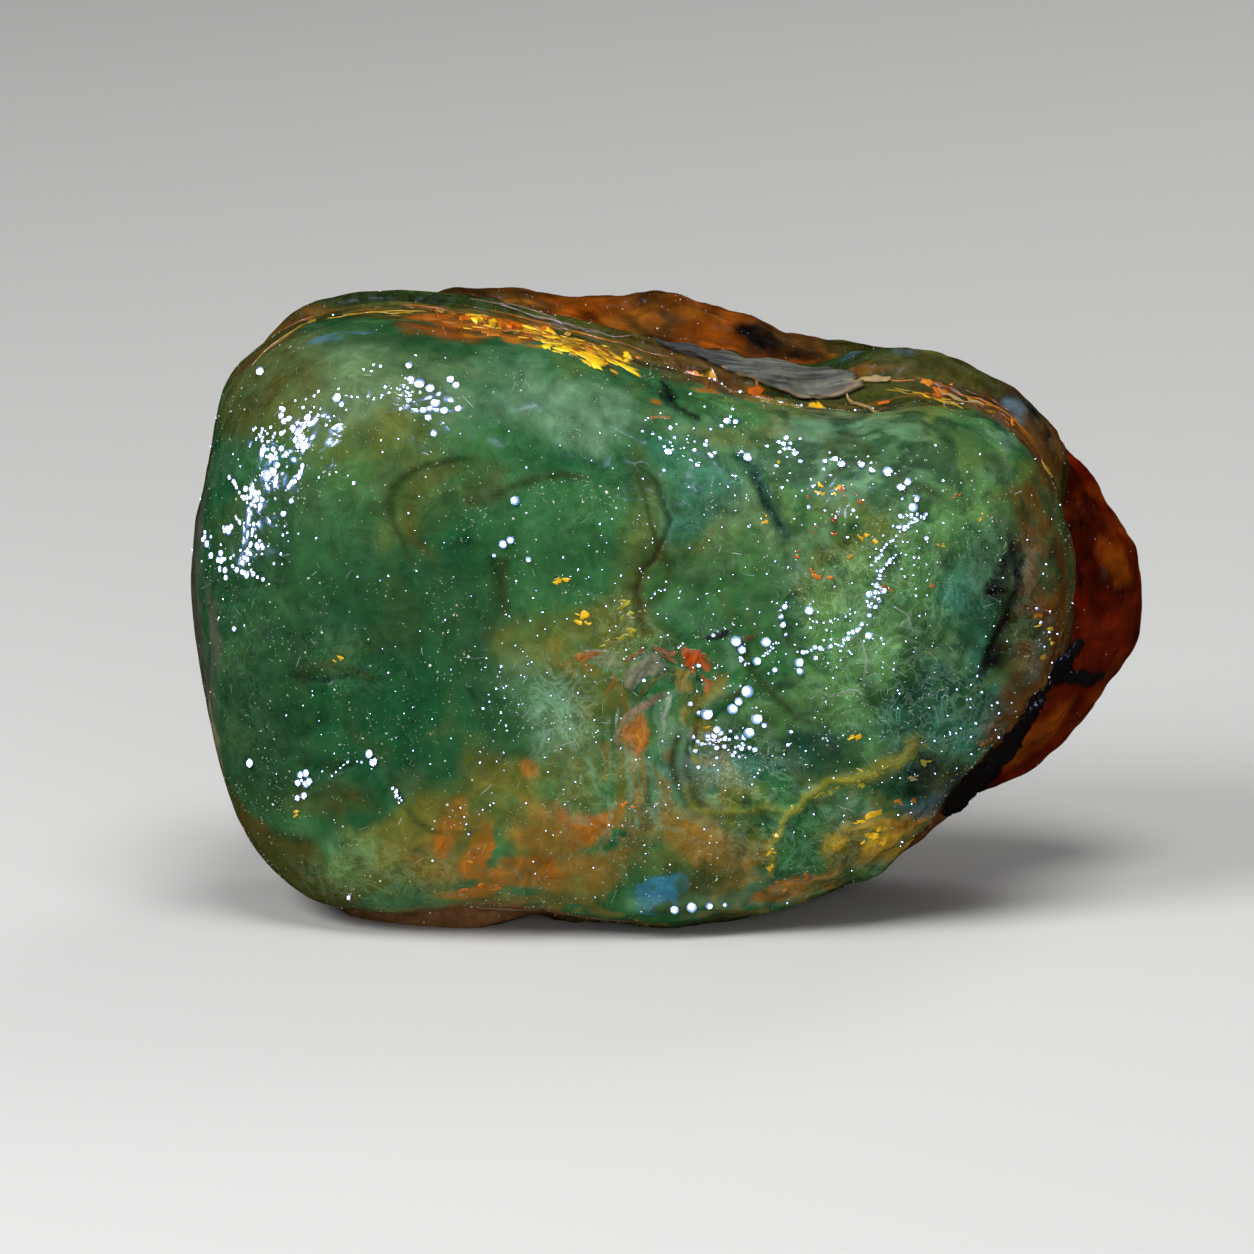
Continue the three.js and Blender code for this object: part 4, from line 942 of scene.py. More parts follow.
def closed_grids(rows):
    """Points and faces of many grids of closed rows, each closed by a point in the middle of each end row.

    The grids' rows come as an array of shape (grids, rows, columns, 3).
    """
    grids, count, columns = rows.shape[:3]
    ends = np.stack([rows[:, 0].mean(axis=1), rows[:, -1].mean(axis=1)], axis=1)
    points = np.concatenate([rows.reshape(grids, -1, 3), ends], axis=1)
    start = (np.arange(grids) * points.shape[1])[:, None, None]
    faces = []
    for kind in grid_faces(count, columns):
        faces += (kind[None] + start).reshape(-1, kind.shape[1]).tolist()
    return points.reshape(-1, 3), faces


def strands(turn, along, width, thickness, seed, columns=12, ragged=0.3, lift=0.0):
    """Slivers that lie on the skin: an ellipse carried along each route.

    Each row of turn and along is one route, which is smoothed a little. The ellipse's width and thickness
    follow the 0.35th power of a sine along it, times 1 plus ragged times noise, and its middle stands lift
    off the skin.
    """
    count, rows = turn.shape
    middle = surface(turn, along, lift)
    for _ in range(rows // 12):
        middle[:, 1:-1] = (middle[:, :-2] + 2 * middle[:, 1:-1] + middle[:, 2:]) / 4
    ahead = np.gradient(middle, axis=1)
    ahead /= np.linalg.norm(ahead, axis=-1, keepdims=True)
    up = outward(turn, along)
    across = np.cross(ahead, up)
    across /= np.linalg.norm(across, axis=-1, keepdims=True)
    share = np.linspace(0.004, 0.996, rows)[None, :, None]
    a = np.linspace(0, TURN, columns, endpoint=False)[None, None, :]
    taper = np.sin(math.pi * share) ** 0.35
    zero = np.zeros((count, rows, columns))
    number = np.arange(count)[:, None, None] * STRAND_GAP
    where = np.stack([share * rows / 5 + number + zero, np.cos(a) * 1.2 + zero, np.sin(a) + zero], axis=-1)
    half = np.reshape(width, (-1, 1, 1)) / 2 * taper * (1 + ragged * noise(where, 1, seed, 2))
    high = np.reshape(thickness, (-1, 1, 1)) / 2 * taper * (1 + ragged * noise(where, 0.7, seed + 1, 2))
    side, rise = (np.cos(a) * half)[..., None], (np.sin(a) * high)[..., None]
    return middle[:, :, None] + across[:, :, None] * side + up[:, :, None] * rise


def route_stops(route, rows):
    """A route's (degrees, along) points as even rows of turn and along, in a batch of one."""
    share = np.linspace(0, 1, len(route))
    at = np.linspace(0, 1, rows)
    turn = np.radians(np.interp(at, share, [stop[0] for stop in route]))
    return turn[None], np.interp(at, share, [stop[1] for stop in route])[None]


def flake_shapes(size, width, tilt, seed, rings=3, columns=11, thickness=0.05):
    """Ragged flat flakes, each a lens whose radius round its middle is an ellipse times noise.

    Returns each point's two steps from the flake's middle and how far it stands off the skin. The flakes go
    round clockwise in their steps' own plane.
    """
    a = np.linspace(0, -TURN, columns, endpoint=False)
    number = np.arange(len(size))[:, None] * FLAKE_GAP
    edge = np.stack([np.cos(a) * 1.5 + number, np.sin(a) * 1.5 + number, 0 * a + number], axis=-1)
    radius = 1 + 0.75 * noise(edge, 1, seed, 3)
    u = size[:, None] / 2 * np.cos(a) * radius
    v = width[:, None] / 2 * np.sin(a) * radius
    c, s = np.cos(tilt)[:, None], np.sin(tilt)[:, None]
    share = np.concatenate([np.linspace(0.4, 1, rings), [0.5]])[None, :, None]
    side = np.concatenate([np.ones(rings), [-1]])[None, :, None]
    rise = side * thickness * np.sqrt(1 - share**4)
    return share * (u * c - v * s)[:, None], share * (u * s + v * c)[:, None], rise


def beside(turn, along, u, v):
    """turn and along of points u and v millimetres from others, round the lump and towards the back."""
    round_ = np.linalg.norm(skin(turn + STEP, along) - skin(turn, along), axis=-1) / STEP
    back = np.linalg.norm(skin(turn, along + STEP) - skin(turn, along), axis=-1) / STEP
    shape = (-1,) + (1,) * (u.ndim - 1)
    return (turn.reshape(shape) + u / round_.reshape(shape)), along.reshape(shape) + v / back.reshape(shape)


def direction(azimuth, elevation):
    """The way to something at these degrees to the right of the front and above the horizon."""
    a, e = math.radians(azimuth), math.radians(elevation)
    return np.array([math.sin(a) * math.cos(e), -math.cos(a) * math.cos(e), math.sin(e)])


def lamp_place(azimuth, elevation, distance):
    """Where a lamp stands, in metres."""
    return direction(azimuth, elevation) * distance + [0, 0, 0.02]


def viewer():
    """Where the camera stands, in metres."""
    return np.array(AIM) * MM + bpy.context.scene.amber_sizes.camera_distance * direction(0, VIEW_ELEVATION)


def beads(turn, along, width, rng, columns=10):
    """Low round beads on the skin: each a cap of a sphere with a flat cone below.

    A bead's cap faces half-way between the viewer and the spark lamp that the skin there faces most, and
    leans from that by under a degree of chance. Four rings make the cap, and one below it makes the cone. A
    bead whose axis leans far from the skin is lifted clear of it.
    """
    up = outward(turn, along)
    spot = surface(turn, along) * MM
    to_viewer = viewer() - spot
    to_viewer /= np.linalg.norm(to_viewer, axis=1, keepdims=True)
    ways = []
    for _, azimuth, elevation, distance, _, _ in SPARKS:
        to_lamp = lamp_place(azimuth, elevation, distance) - spot
        way = to_lamp / np.linalg.norm(to_lamp, axis=1, keepdims=True) + to_viewer
        ways.append(way / np.linalg.norm(way, axis=1, keepdims=True))
    ways = np.array(ways)
    best = np.argmax((ways * up).sum(axis=2), axis=0)
    axis = ways[best, np.arange(len(best))] + rng.normal(0, BEAD_LEAN, up.shape)
    axis /= np.linalg.norm(axis, axis=1, keepdims=True)
    side = np.cross(axis, [0.0, 0.0, 1.0])
    side /= np.linalg.norm(side, axis=1, keepdims=True)
    other = np.cross(axis, side)
    a = np.linspace(0, TURN, columns, endpoint=False)[None, None, :, None]
    radius = width[:, None, None, None] / 2
    share = np.array([0.3, 0.6, 0.9, 1.0, 0.6])[None, :, None, None]
    cap = np.arange(5)[None, :, None, None] < 4
    rise = np.where(cap, 1 - share**2, -1.0) * radius * BEAD_SLOPE / 2
    lean = np.sqrt(np.clip(1 - np.sum(axis * up, axis=1) ** 2, 0, 1)) * width * 0.4
    middle = surface(turn, along, lean)[:, None, None]
    around = side[:, None, None] * np.cos(a) + other[:, None, None] * np.sin(a)
    return middle + around * share * radius + axis[:, None, None] * rise


def film(outline, place, wobble, seed, thickness=0.09, lift=0.0, rings=14, columns=56):
    """A thin film in the skin: an outline filled from its middle out, domed and closed below.

    The outline is walked evenly and pushed about by noise times wobble, each ring is a share of it, and place
    turns its two values into turn and along. Returns turn, along, each ring's share and the points, in a
    batch of one, going anticlockwise as seen from outside.
    """
    outline = np.array(outline, float)
    middle = outline.mean(axis=0)
    a = np.linspace(0, TURN, columns, endpoint=False)
    corners = np.concatenate([outline, outline[:1]])
    steps = np.diff(corners, axis=0) / wobble
    way = np.concatenate([[0], np.cumsum(np.hypot(*steps.T))])
    edge = np.stack([np.interp(a / TURN * way[-1], way, corners[:, k]) for k in (0, 1)], axis=-1)
    around = np.stack([np.cos(a) * 3, np.sin(a) * 3, a * 0], axis=-1)
    edge = edge + np.array(wobble) * np.stack([noise(around, 0.7, seed + k, 3) for k in (0, 1)], axis=-1)
    rings_below = 4
    share = np.concatenate([np.linspace(0.02, 1, rings), np.linspace(0.9, 0.04, rings_below)])[:, None]
    flat = middle + (edge - middle) * share[..., None]
    side = np.concatenate([np.ones(rings), -np.ones(rings_below)])[:, None]
    turn, along = place(flat[..., 0], flat[..., 1])
    rise = lift + side * thickness * np.sqrt(np.clip(1 - share**4, 0, 1))
    rows = surface(turn, along, rise + 0 * turn)
    rim = rows[rings - 1]
    facing = np.cross(rim, np.roll(rim, -1, axis=0)).sum(axis=0) @ outward(turn[0, 0], along[0, 0])
    order = slice(None, None, 1 if facing > 0 else -1)
    return turn[:, order], along[:, order], share, rows[:, order][None]


def amber_material(name, absorb, density, transmission, milky_colour):
    """Amber, naturally worn and wet: a glossy resin with cloudy colour in it, pitted like orange peel.

    It lets light through as its transmission says, and its absorption deepens the colour with thickness.
    The tint attribute is its colour; the finish attribute's red is where it is scratched and hazy, its green
    where it is pitted, and its blue where it is dull. What isn't dull is wet: it has no swell and a clear
    coat, which gives the bright round glints. Under the coat it keeps almost no gloss of its own, so that
    lamps don't wash its colour out.
    """
    sizes = bpy.context.scene.amber_sizes
    material, tree, output = new_material(name)
    place = add_node(tree, "ShaderNodeTexCoord").outputs["Object"]
    tint = add_node(tree, "ShaderNodeAttribute", {"attribute_name": "tint"}).outputs["Color"]
    finish = add_node(tree, "ShaderNodeAttribute", {"attribute_name": "finish"}).outputs["Color"]
    haze, peel, dull = add_node(tree, "ShaderNodeSeparateColor", {}, {0: finish}).outputs
    cloud = add_node(
        tree,
        "ShaderNodeTexNoise",
        {"Scale": 1 / sizes.mottle, "Detail": 8, "Roughness": 0.68, "Distortion": 0.8},
        {"Vector": place},
    ).outputs["Fac"]
    lift = add_node(
        tree,
        "ShaderNodeMapRange",
        {"From Min": 0.3, "From Max": 0.7, "To Min": 0.6, "To Max": 1.42},
        {"Value": cloud},
    )
    shaded = {0: tint, "Scale": lift.outputs[0]}
    shade = add_node(tree, "ShaderNodeVectorMath", {"operation": "SCALE"}, shaded)
    # Milky veins, wide and fine, as hazy amber has: where a noise of their size crosses its middle value.
    lines = []
    for size, detail, width in ((2.6 * MM, 4, 0.05), (1.5 * MM, 2, 0.03)):
        vein = add_node(
            tree,
            "ShaderNodeTexNoise",
            {"Scale": 1 / size, "Detail": detail, "Roughness": 0.6, "Distortion": 1.3},
            {"Vector": place},
        )
        off = add_node(tree, "ShaderNodeMath", {"operation": "SUBTRACT", 1: 0.5}, {0: vein.outputs["Fac"]})
        near = add_node(tree, "ShaderNodeMath", {"operation": "ABSOLUTE"}, {0: off.outputs[0]})
        falling = {"From Min": 0.0, "From Max": width, "To Min": 1.0, "To Max": 0.0}
        lines.append(add_node(tree, "ShaderNodeMapRange", falling, {"Value": near.outputs[0]}).outputs[0])
    line = add_node(tree, "ShaderNodeMath", {"operation": "MAXIMUM"}, {0: lines[0], 1: lines[1]})
    amount = add_node(tree, "ShaderNodeMath", {"operation": "MULTIPLY_ADD", 1: 0.48, 2: 0.03}, {0: haze})
    both = {0: line.outputs[0], 1: amount.outputs[0]}
    veil = add_node(tree, "ShaderNodeMath", {"operation": "MULTIPLY"}, both)
    pale = add_node(
        tree,
        "ShaderNodeVectorMath",
        {"operation": "MULTIPLY_ADD", 1: (1.7, 1.7, 1.7), 2: linear(milky_colour)[:3]},
        {0: shade.outputs[0]},
    )
    milky = add_node(
        tree,
        "ShaderNodeMix",
        {"data_type": "RGBA"},
        {0: veil.outputs[0], 6: shade.outputs[0], 7: pale.outputs[0]},
    )
    # Orange peel: round pits with a flat bottom, over a slow swell where the skin is dull.
    pits = add_node(tree, "ShaderNodeTexVoronoi", {"Scale": 1 / sizes.pit_pitch}, {"Vector": place})
    dome = add_node(tree, "ShaderNodeMath", {"operation": "POWER", 1: 2.0}, {0: pits.outputs["Distance"]})
    peeled = add_node(tree, "ShaderNodeMath", {"operation": "MULTIPLY"}, {0: dome.outputs[0], 1: peel})
    slow = {"Scale": 1 / (2.2 * MM), "Detail": 1, "Roughness": 0.4}
    swell = add_node(tree, "ShaderNodeTexNoise", slow, {"Vector": place})
    calm = add_node(tree, "ShaderNodeMath", {"operation": "MULTIPLY"}, {0: swell.outputs["Fac"], 1: dull})
    bumps = add_node(
        tree,
        "ShaderNodeMath",
        {"operation": "MULTIPLY_ADD", 1: -1.6},
        {0: peeled.outputs[0], 2: calm.outputs[0]},
    )
    depth = {"Strength": 1.0, "Distance": 0.09 * MM}
    bump = add_node(tree, "ShaderNodeBump", depth, {"Height": bumps.outputs[0]})
    worn = {"From Min": 0.35, "From Max": 0.7, "To Min": 0.11, "To Max": 0.2}
    rough = add_node(tree, "ShaderNodeMapRange", worn, {"Value": cloud})
    wet = add_node(tree, "ShaderNodeMath", {"operation": "SUBTRACT", 0: 1.0}, {1: dull})
    shader = add_node(
        tree,
        "ShaderNodeBsdfPrincipled",
        {
            "IOR": 1.54, "Transmission Weight": transmission, "Coat Roughness": 0.1,
            "Specular IOR Level": 0.06, "Specular Tint": (0.06, 0.06, 0.06, 1.0),
        },
        {
            "Base Color": milky.outputs[2], "Roughness": rough.outputs[0], "Normal": bump.outputs[0],
            "Coat Normal": bump.outputs[0], "Coat Weight": wet.outputs[0],
        },
    )
    volume = add_node(tree, "ShaderNodeVolumeAbsorption", {"Color": linear(absorb), "Density": density})
    tree.links.new(shader.outputs[0], output.inputs["Surface"])
    tree.links.new(volume.outputs[0], output.inputs["Volume"])
    return material


def tinted_material(name, roughness, settings=None):
    """A material whose colour is the tint attribute, lighter and darker with noise, and a little bumpy.

    The noise is as fine as the grain of wood and the grit of dust, 0.4 mm.
    """
    material, tree, output = new_material(name)
    place = add_node(tree, "ShaderNodeTexCoord").outputs["Object"]
    tint = add_node(tree, "ShaderNodeAttribute", {"attribute_name": "tint"}).outputs["Color"]
    cloud = add_node(tree, "ShaderNodeTexNoise", {"Scale": 1 / (0.4 * MM), "Detail": 3}, {"Vector": place})
    grain = cloud.outputs["Fac"]
    lift = add_node(tree, "ShaderNodeMapRange", {"To Min": 0.55, "To Max": 1.45}, {"Value": grain})
    shaded = {0: tint, "Scale": lift.outputs[0]}
    shade = add_node(tree, "ShaderNodeVectorMath", {"operation": "SCALE"}, shaded)
    depth = {"Strength": 0.3, "Distance": 0.1 * MM}
    bump = add_node(tree, "ShaderNodeBump", depth, {"Height": grain})
    shader = add_node(
        tree, "ShaderNodeBsdfPrincipled", {"Roughness": roughness, **(settings or {})},
        {"Base Color": shade.outputs[0], "Normal": bump.outputs[0]},
    )
    tree.links.new(shader.outputs[0], output.inputs["Surface"])
    return material


def lump_part(start, end, rows, columns, cap_rows, gap=0.0):
    """Part of the lump between two shares of the way: turn, along and points of its skin, and all its rows.

    It is closed by an inner wall, which runs straight from the cut's edge to the middle of the lump, gap
    behind the cut.
    """
    front = start == 0
    levels = even_rows(start, end, rows - cap_rows)
    levels = levels[1:] if front else levels[:-1]
    turn, along = np.meshgrid(np.linspace(0, TURN, columns, endpoint=False), levels)
    points = surface(turn, along)
    edge = points[-1] if front else points[0] + [0, gap, 0]
    middle = np.array([0.0, edge[:, 1].mean(), AXIS_HEIGHT])
    share = np.linspace(0, 1, cap_rows + 1)[1:-1, None, None]
    wall = edge + (middle - edge) * share
    return turn, along, points, np.concatenate([points, wall] if front else [wall[::-1], points])


def on_band(degrees, share):
    """turn and along of a place given by degrees from +X and its share of the way back."""
    return np.radians(degrees), share


def for_points(tones, points):
    """The tint of every point of many like grids, from one tone for each grid."""
    return np.clip(np.repeat(tones, len(points) // len(tones), axis=0), 0, 1)


def with_ends(values):
    """Attribute values for a closed grid: its rows' own, and a mean for the point that closes each end."""
    return np.concatenate([values.reshape(-1, 3), [values[0].mean(axis=0), values[-1].mean(axis=0)]])


def spread(values, rows_all, front):
    """Attribute values for all points of a lump part: its inner wall has the cut's, and its ends a mean."""
    missing = len(rows_all) - len(values)
    wall = np.tile(values[-1] if front else values[0], (missing, 1, 1))
    return with_ends(np.concatenate([values, wall] if front else [wall, values]))


class AMBER_OT_front(bpy.types.Operator):
    """The green front lobe with the olive flow layer behind it."""

    bl_idname = "amber.front"
    bl_label = "Front lobe"

    def execute(self, context):
        sizes = context.scene.amber_sizes
        turn, along, points, rows = lump_part(0, SPLIT, sizes.rows, sizes.columns, sizes.rows // 14)
        tint = spread(front_tint(points, turn, along), rows, True)
        finish = spread(front_finish(points, along), rows, True)
        # Cloudy green amber: it takes up red and blue light, and most of its colour lies close to the skin.
        material = amber_material(FRONT_AMBER, "#7fae5c", 160, 0.35, "#6b7f74")
        grid = closed_grids(rows[None])
        add_piece("front_lobe", *grid, material, "amber", ["amber"], tint=tint, finish=finish)
        return {"FINISHED"}


class AMBER_OT_slab(bpy.types.Operator):
    """The red-brown back slab with its thin lobe."""

    bl_idname = "amber.slab"
    bl_label = "Back slab"

    def execute(self, context):
        sizes = context.scene.amber_sizes
        turn, along, points, rows = lump_part(SPLIT, 1, sizes.rows, sizes.columns, sizes.rows // 14, 0.15)
        tint = spread(slab_tint(points, turn, along), rows, False)
        finish = np.zeros_like(tint) + [0.12, 0.2, 1.0]
        # Clearer red amber: it lets more light through and glows orange where it is thin.
        material = amber_material("worn wet red amber", "#c23a10", 260, 0.45, "#4a3226")
        grid = closed_grids(rows[None])
        add_piece("back_slab", *grid, material, "amber", ["amber"], tint=tint, finish=finish)
        return {"FINISHED"}


class AMBER_OT_slivers(bpy.types.Operator):
    """The bark splinter, the lignite seam and the straws that are stuck in the seams."""

    bl_idname = "amber.slivers"
    bl_label = "Slivers"

    def execute(self, context):
        self.bark(context.scene.amber_sizes.bark_thickness / MM)
        self.lignite()
        self.straws()
        return {"FINISHED"}

    @staticmethod
    def bark(thickness):
        """A flat ragged splinter with fibres along it, darker at its left end, with a painted pale highlight
        along its front rim.
        """
        turn, along, share, rows = film(BARK_OUTLINE, on_band, (1.0, 0.004), 90, thickness / 2, 0.22, 20, 150)
        grain = np.stack([turn * 9, along * 420, 0 * turn], axis=-1)
        tint = np.broadcast_to(np.array(linear("#4d4e42")[:3]), rows[0].shape)
        tint = blend(tint, np.array(linear("#2f2f28")[:3]), 0.9 * smooth(1.2, 1.45, turn))
        tint = tint * (1 + 0.8 * noise(grain, 1, 95, 4))[..., None]
        # Painted highlight: the front rim is painted pale tan in broken stretches.
        rim = smooth(0.86, 0.97, share) * (along < 0.6) * smooth(-0.4, 0.1, noise(grain, 2, 96))
        tint = blend(tint, np.array(linear("#a98f66")[:3]), 0.45 * rim)
        # Dry wood fibre scatters light softly, with no gloss.
        bark = tinted_material("dry fibrous bark", 0.75)
        points, faces = closed_grids(rows)
        add_piece("bark", points, faces, bark, "bark", ["bark_splinter"], tint=with_ends(tint))

    @staticmethod
    def lignite():
        """Two strands that overlap along the seam and a thin branch over the red lobe."""
        # Coal that breaks like glass: black, with sharp small highlights.
        lignite = tinted_material("glossy lignite", 0.22, {"Coat Weight": 0.8, "Coat Roughness": 0.08})
        seam = strands(*route_stops(LIGNITE_ROUTE[:4], 120), 2.0, 1.2, 91, 24, 0.35, 0.2)
        tip = strands(*route_stops(LIGNITE_ROUTE[2:], 120), 1.8, 1.0, 97, 24, 0.3, 0.2)
        branch = strands(*route_stops(LIGNITE_BRANCH, 120), 1.0, 0.25, 92, 24, 0.6, 0.0)
        points, faces = closed_grids(np.concatenate([seam, tip, branch]))
        tint = np.tile(linear("#100e0d")[:3], (len(points), 1))
        add_piece("lignite", points, faces, lignite, "lignite", ["lignite_seam"], tint=tint)

    @staticmethod
    def straws():
        """Three flat wood fibres."""
        # Dry straw has a silky, half dull sheen.
        straw = tinted_material("dry straw", 0.5)
        for number, (route, width) in enumerate(zip(STRAW_ROUTES, STRAW_WIDTHS), 1):
            rows = strands(*route_stops(route, 30), width, 0.25, 93 + number, 12, 0.35, 0.15)
            points, faces = closed_grids(rows)
            tint = np.tile(linear("#8f7749")[:3], (len(points), 1))
            add_piece(f"straw_{number}", points, faces, straw, "straw", [f"straw_sliver_{number}"], tint=tint)


def films(tones):
    """Points, faces and tint of the films: streaked with fibres, and of the skin's own colour at the edge."""
    all_points, all_faces, all_tint = [], [], []
    for k, (tone, strength, fade, outline) in enumerate(FILMS):
        turn, along, share, rows = film(outline, on_face, (0.1, 0.1), 100 + 3 * k, 0.05, FILM_LIFT)
        points, faces = closed_grids(rows)
        x, y, z = np.moveaxis(rows[0], -1, 0)
        grain = np.stack([x * 1.2 - z * 0.9, y, (x + z) * 0.25], axis=-1)
        under = front_tint(rows[0], turn, along)
        fibres = 0.35 * noise(grain, 0.5, 130 + k, 3) + fade * (1.3 - 1.9 * share)
        mask = strength * smooth(-0.45, 0.35, fibres + 0.1) * (1 - smooth(0.85, 1.0, share))
        tint = blend(under, tones[tone] * (1 + 0.45 * noise(grain, 0.35, 150 + k, 3))[..., None], mask)
        start = sum(len(p) for p in all_points)
        all_faces += [[start + corner for corner in face] for face in faces]
        all_points.append(points)
        all_tint.append(with_ends(tint))
    return np.concatenate(all_points), all_faces, np.concatenate(all_tint)


def film_ribbons(tones):
    """Points, faces and tint of the ribbons, folds and painted highlight streak: each shows along its middle
    and fades to the skin's own colour.
    """
    stops, columns = 40, 12
    at = np.linspace(0, 1, stops)
    routes = [np.array(ribbon[3]) for ribbon in RIBBONS]
    x, z = (np.stack([np.interp(at, np.linspace(0, 1, len(r)), r[:, k]) for r in routes]) for k in (0, 1))
    turn, along = on_face(x, z)
    rows = strands(turn, along, [ribbon[2] for ribbon in RIBBONS], 0.07, 170, columns, 0.45, FILM_LIFT)
    across = np.abs(np.cos(np.linspace(0, TURN, columns, endpoint=False)))
    ends = np.minimum(smooth(0, 0.2, at), 1 - smooth(0.75, 1, at))
    number = np.arange(len(RIBBONS))[:, None, None] * FOLD_GAP
    zero = np.zeros(rows.shape[:3])
    grain = np.stack([at[:, None] * 2 + zero, across * 4 + zero, number + zero], axis=-1)
    mask = (1 - smooth(0.4, 0.98, across)) * ends[:, None] * (1 + 0.5 * noise(grain, 1, 171, 3))
    mask = mask * np.reshape([ribbon[1] for ribbon in RIBBONS], (-1, 1, 1))
    full_turn, full_along = (np.repeat(v[:, :, None], columns, axis=2) for v in (turn, along))
    under = front_tint(rows, full_turn, full_along)
    own = np.stack([tones[ribbon[0]] for ribbon in RIBBONS])[:, None, None]
    tint = blend(under, own * (1 + 0.35 * noise(grain, 0.5, 172, 2))[..., None], mask)
    return *closed_grids(rows), np.concatenate([with_ends(part) for part in tint])


class AMBER_OT_films(bpy.types.Operator):
    """Flame-coloured, grey and black films in the skin of the front, their folds, and a painted highlight
    streak over the grey one.
    """

    bl_idname = "amber.films"
    bl_label = "Films"

    def execute(self, context):
        tones = palette()
        for name, make in (("films", films), ("film_ribbons", film_ribbons)):
            points, faces, tint = make(tones)
            tint = np.clip(tint, 0, 1)
            finish = np.zeros_like(tint) + [0.4, 0.0, 0.0]
            front = bpy.data.materials[FRONT_AMBER]
            add_piece(name, points, faces, front, "amber", tint=tint, finish=finish)
        return {"FINISHED"}


class AMBER_OT_beads(bpy.types.Operator):
    """Small beads of wet resin on the front, alone, in crowds and in chains, that catch the light."""

    bl_idname = "amber.beads"
    bl_label = "Beads"

    def execute(self, context):
        rng = np.random.default_rng(17)
        spots = [np.array(BEADS)]
        for x, z, wide, high, degrees, count, width in BEAD_CROWDS:
            place = rng.normal(0, 0.6, (count, 2)) * (wide, high)
            c, s = math.cos(math.radians(degrees)), math.sin(math.radians(degrees))
            widths = width * rng.uniform(0.6, 1.3, count)
            spots.append(np.column_stack([x + place @ (c, -s), z + place @ (s, c), widths]))
        for count, width, route in BEAD_CHAINS:
            stops = np.array(route)
            at = np.linspace(0, len(stops) - 1, count) + rng.normal(0, 0.08, count)
            step = np.arange(len(stops))
            x, z = (np.interp(at, step, stops[:, k]) + rng.normal(0, 0.06, count) for k in (0, 1))
            spots.append(np.column_stack([x, z, width * rng.uniform(0.6, 1.3, count)]))
        x, z, width = np.concatenate(spots).T
        turn, along = on_face(x, z)
        points, faces = closed_grids(beads(turn, along, width * BEAD_SPREAD, rng))
        tint = for_points(front_tint(surface(turn, along), turn, along), points)
        front = bpy.data.materials[FRONT_AMBER]
        add_piece("wet_beads", points, faces, front, "amber", tint=tint, finish=np.zeros_like(tint))
        return {"FINISHED"}


def seam_flakes(rng, tones):
    """Points, faces and tones of the flakes: most in the flash's two halves, and some all along the seam."""
    count = bpy.context.scene.amber_sizes.flakes
    zone = rng.choice(3, count, p=[0.55, 0.28, 0.17])
    gold, orange = rng.normal(109.5, 4.6, count), rng.normal(120, 5, count)
    degrees = np.choose(zone, [gold, orange, rng.uniform(20, 150, count)])
    shift = (degrees - 111) * FLASH_SLANT
    gold, orange = rng.normal(0.482, 0.034, count) + shift, rng.normal(0.49, 0.03, count) + shift
    along = np.choose(zone, [gold, orange, rng.normal(0.55, 0.02, count)])
    size = np.clip(rng.lognormal(0.1, 0.5, count), 0.3, 2.4)
    tilt = rng.normal(0.5, 0.7, count)
    u, v, rise = flake_shapes(size, size * rng.uniform(0.35, 0.85, count), tilt, 8)
    rows = surface(*beside(np.radians(degrees), along, u, v), rise + 0 * u)
    pick = rng.uniform(size=count)
    kinds = np.stack([tones[name] for name in ("gold", "orange", "dark_orange", "ochre")])
    # For each zone, the chance of gold, of gold or orange, and of any but ochre.
    chances = np.array([[0.72, 0.88, 0.96], [0.12, 0.5, 0.9], [0.05, 0.35, 0.6]])[zone]
    # The flakes' tones are scaled by 0.6 to 1.6: their own varied tone, and on the brightest a painted
    # highlight.
    tone = kinds[(pick[:, None] > chances).sum(axis=1)] * rng.uniform(0.6, 1.6, (count, 1))
    return *closed_grids(rows), tone


def crumbs(rng, tones):
    """Points, faces and tones of the crumbs: three small flakes close together for each."""
    x, z, size = (np.repeat([crumb[k] for crumb in CRUMBS], 3) for k in range(3))
    count = len(x)
    place = rng.normal(0, 0.35, (2, count)) * size
    size = size * rng.uniform(0.35, 0.8, count)
    u, v, rise = flake_shapes(-size, size * rng.uniform(0.3, 0.8, count), rng.uniform(-1, 1, count), 10)
    spot = on_face((x + place[0])[:, None, None] + u, (z + place[1])[:, None, None] + v)
    tone = np.repeat([tones[crumb[3]] for crumb in CRUMBS], 3, axis=0) * rng.uniform(0.6, 1.25, (count, 1))
    return *closed_grids(surface(*spot, rise + 0 * u)), tone


def seam_threads(rng, tones):
    """Points, faces and tones of the threads: each a random stretch of its route, waved and moved aside."""
    all_rows, all_tones = [], []
    for tone, count, route in THREADS:
        stops = np.array(route)
        step = np.arange(len(stops))
        start, run = rng.uniform(0, 0.7, (count, 1)), rng.uniform(0.15, 0.5, (count, 1))
        at = (np.minimum(start, 1 - run) + run * np.linspace(0, 1, 24)) * (len(stops) - 1)
        turn = np.radians(np.interp(at, step, stops[:, 0]))
        along = np.interp(at, step, stops[:, 1]) + rng.normal(0, 0.004, (count, 1))
        along = along + 0.002 * np.cos(at * 6 + rng.uniform(0, 6, (count, 1)))
        width = rng.uniform(0.06, 0.22, count)
        all_rows.append(strands(turn, along, width, 0.1, 9 + len(all_rows), 6, 0.5, 0.0))
        all_tones.append(tones[tone] * rng.uniform(0.3, 0.95, (count, 1)))
    return *closed_grids(np.concatenate(all_rows)), np.concatenate(all_tones)


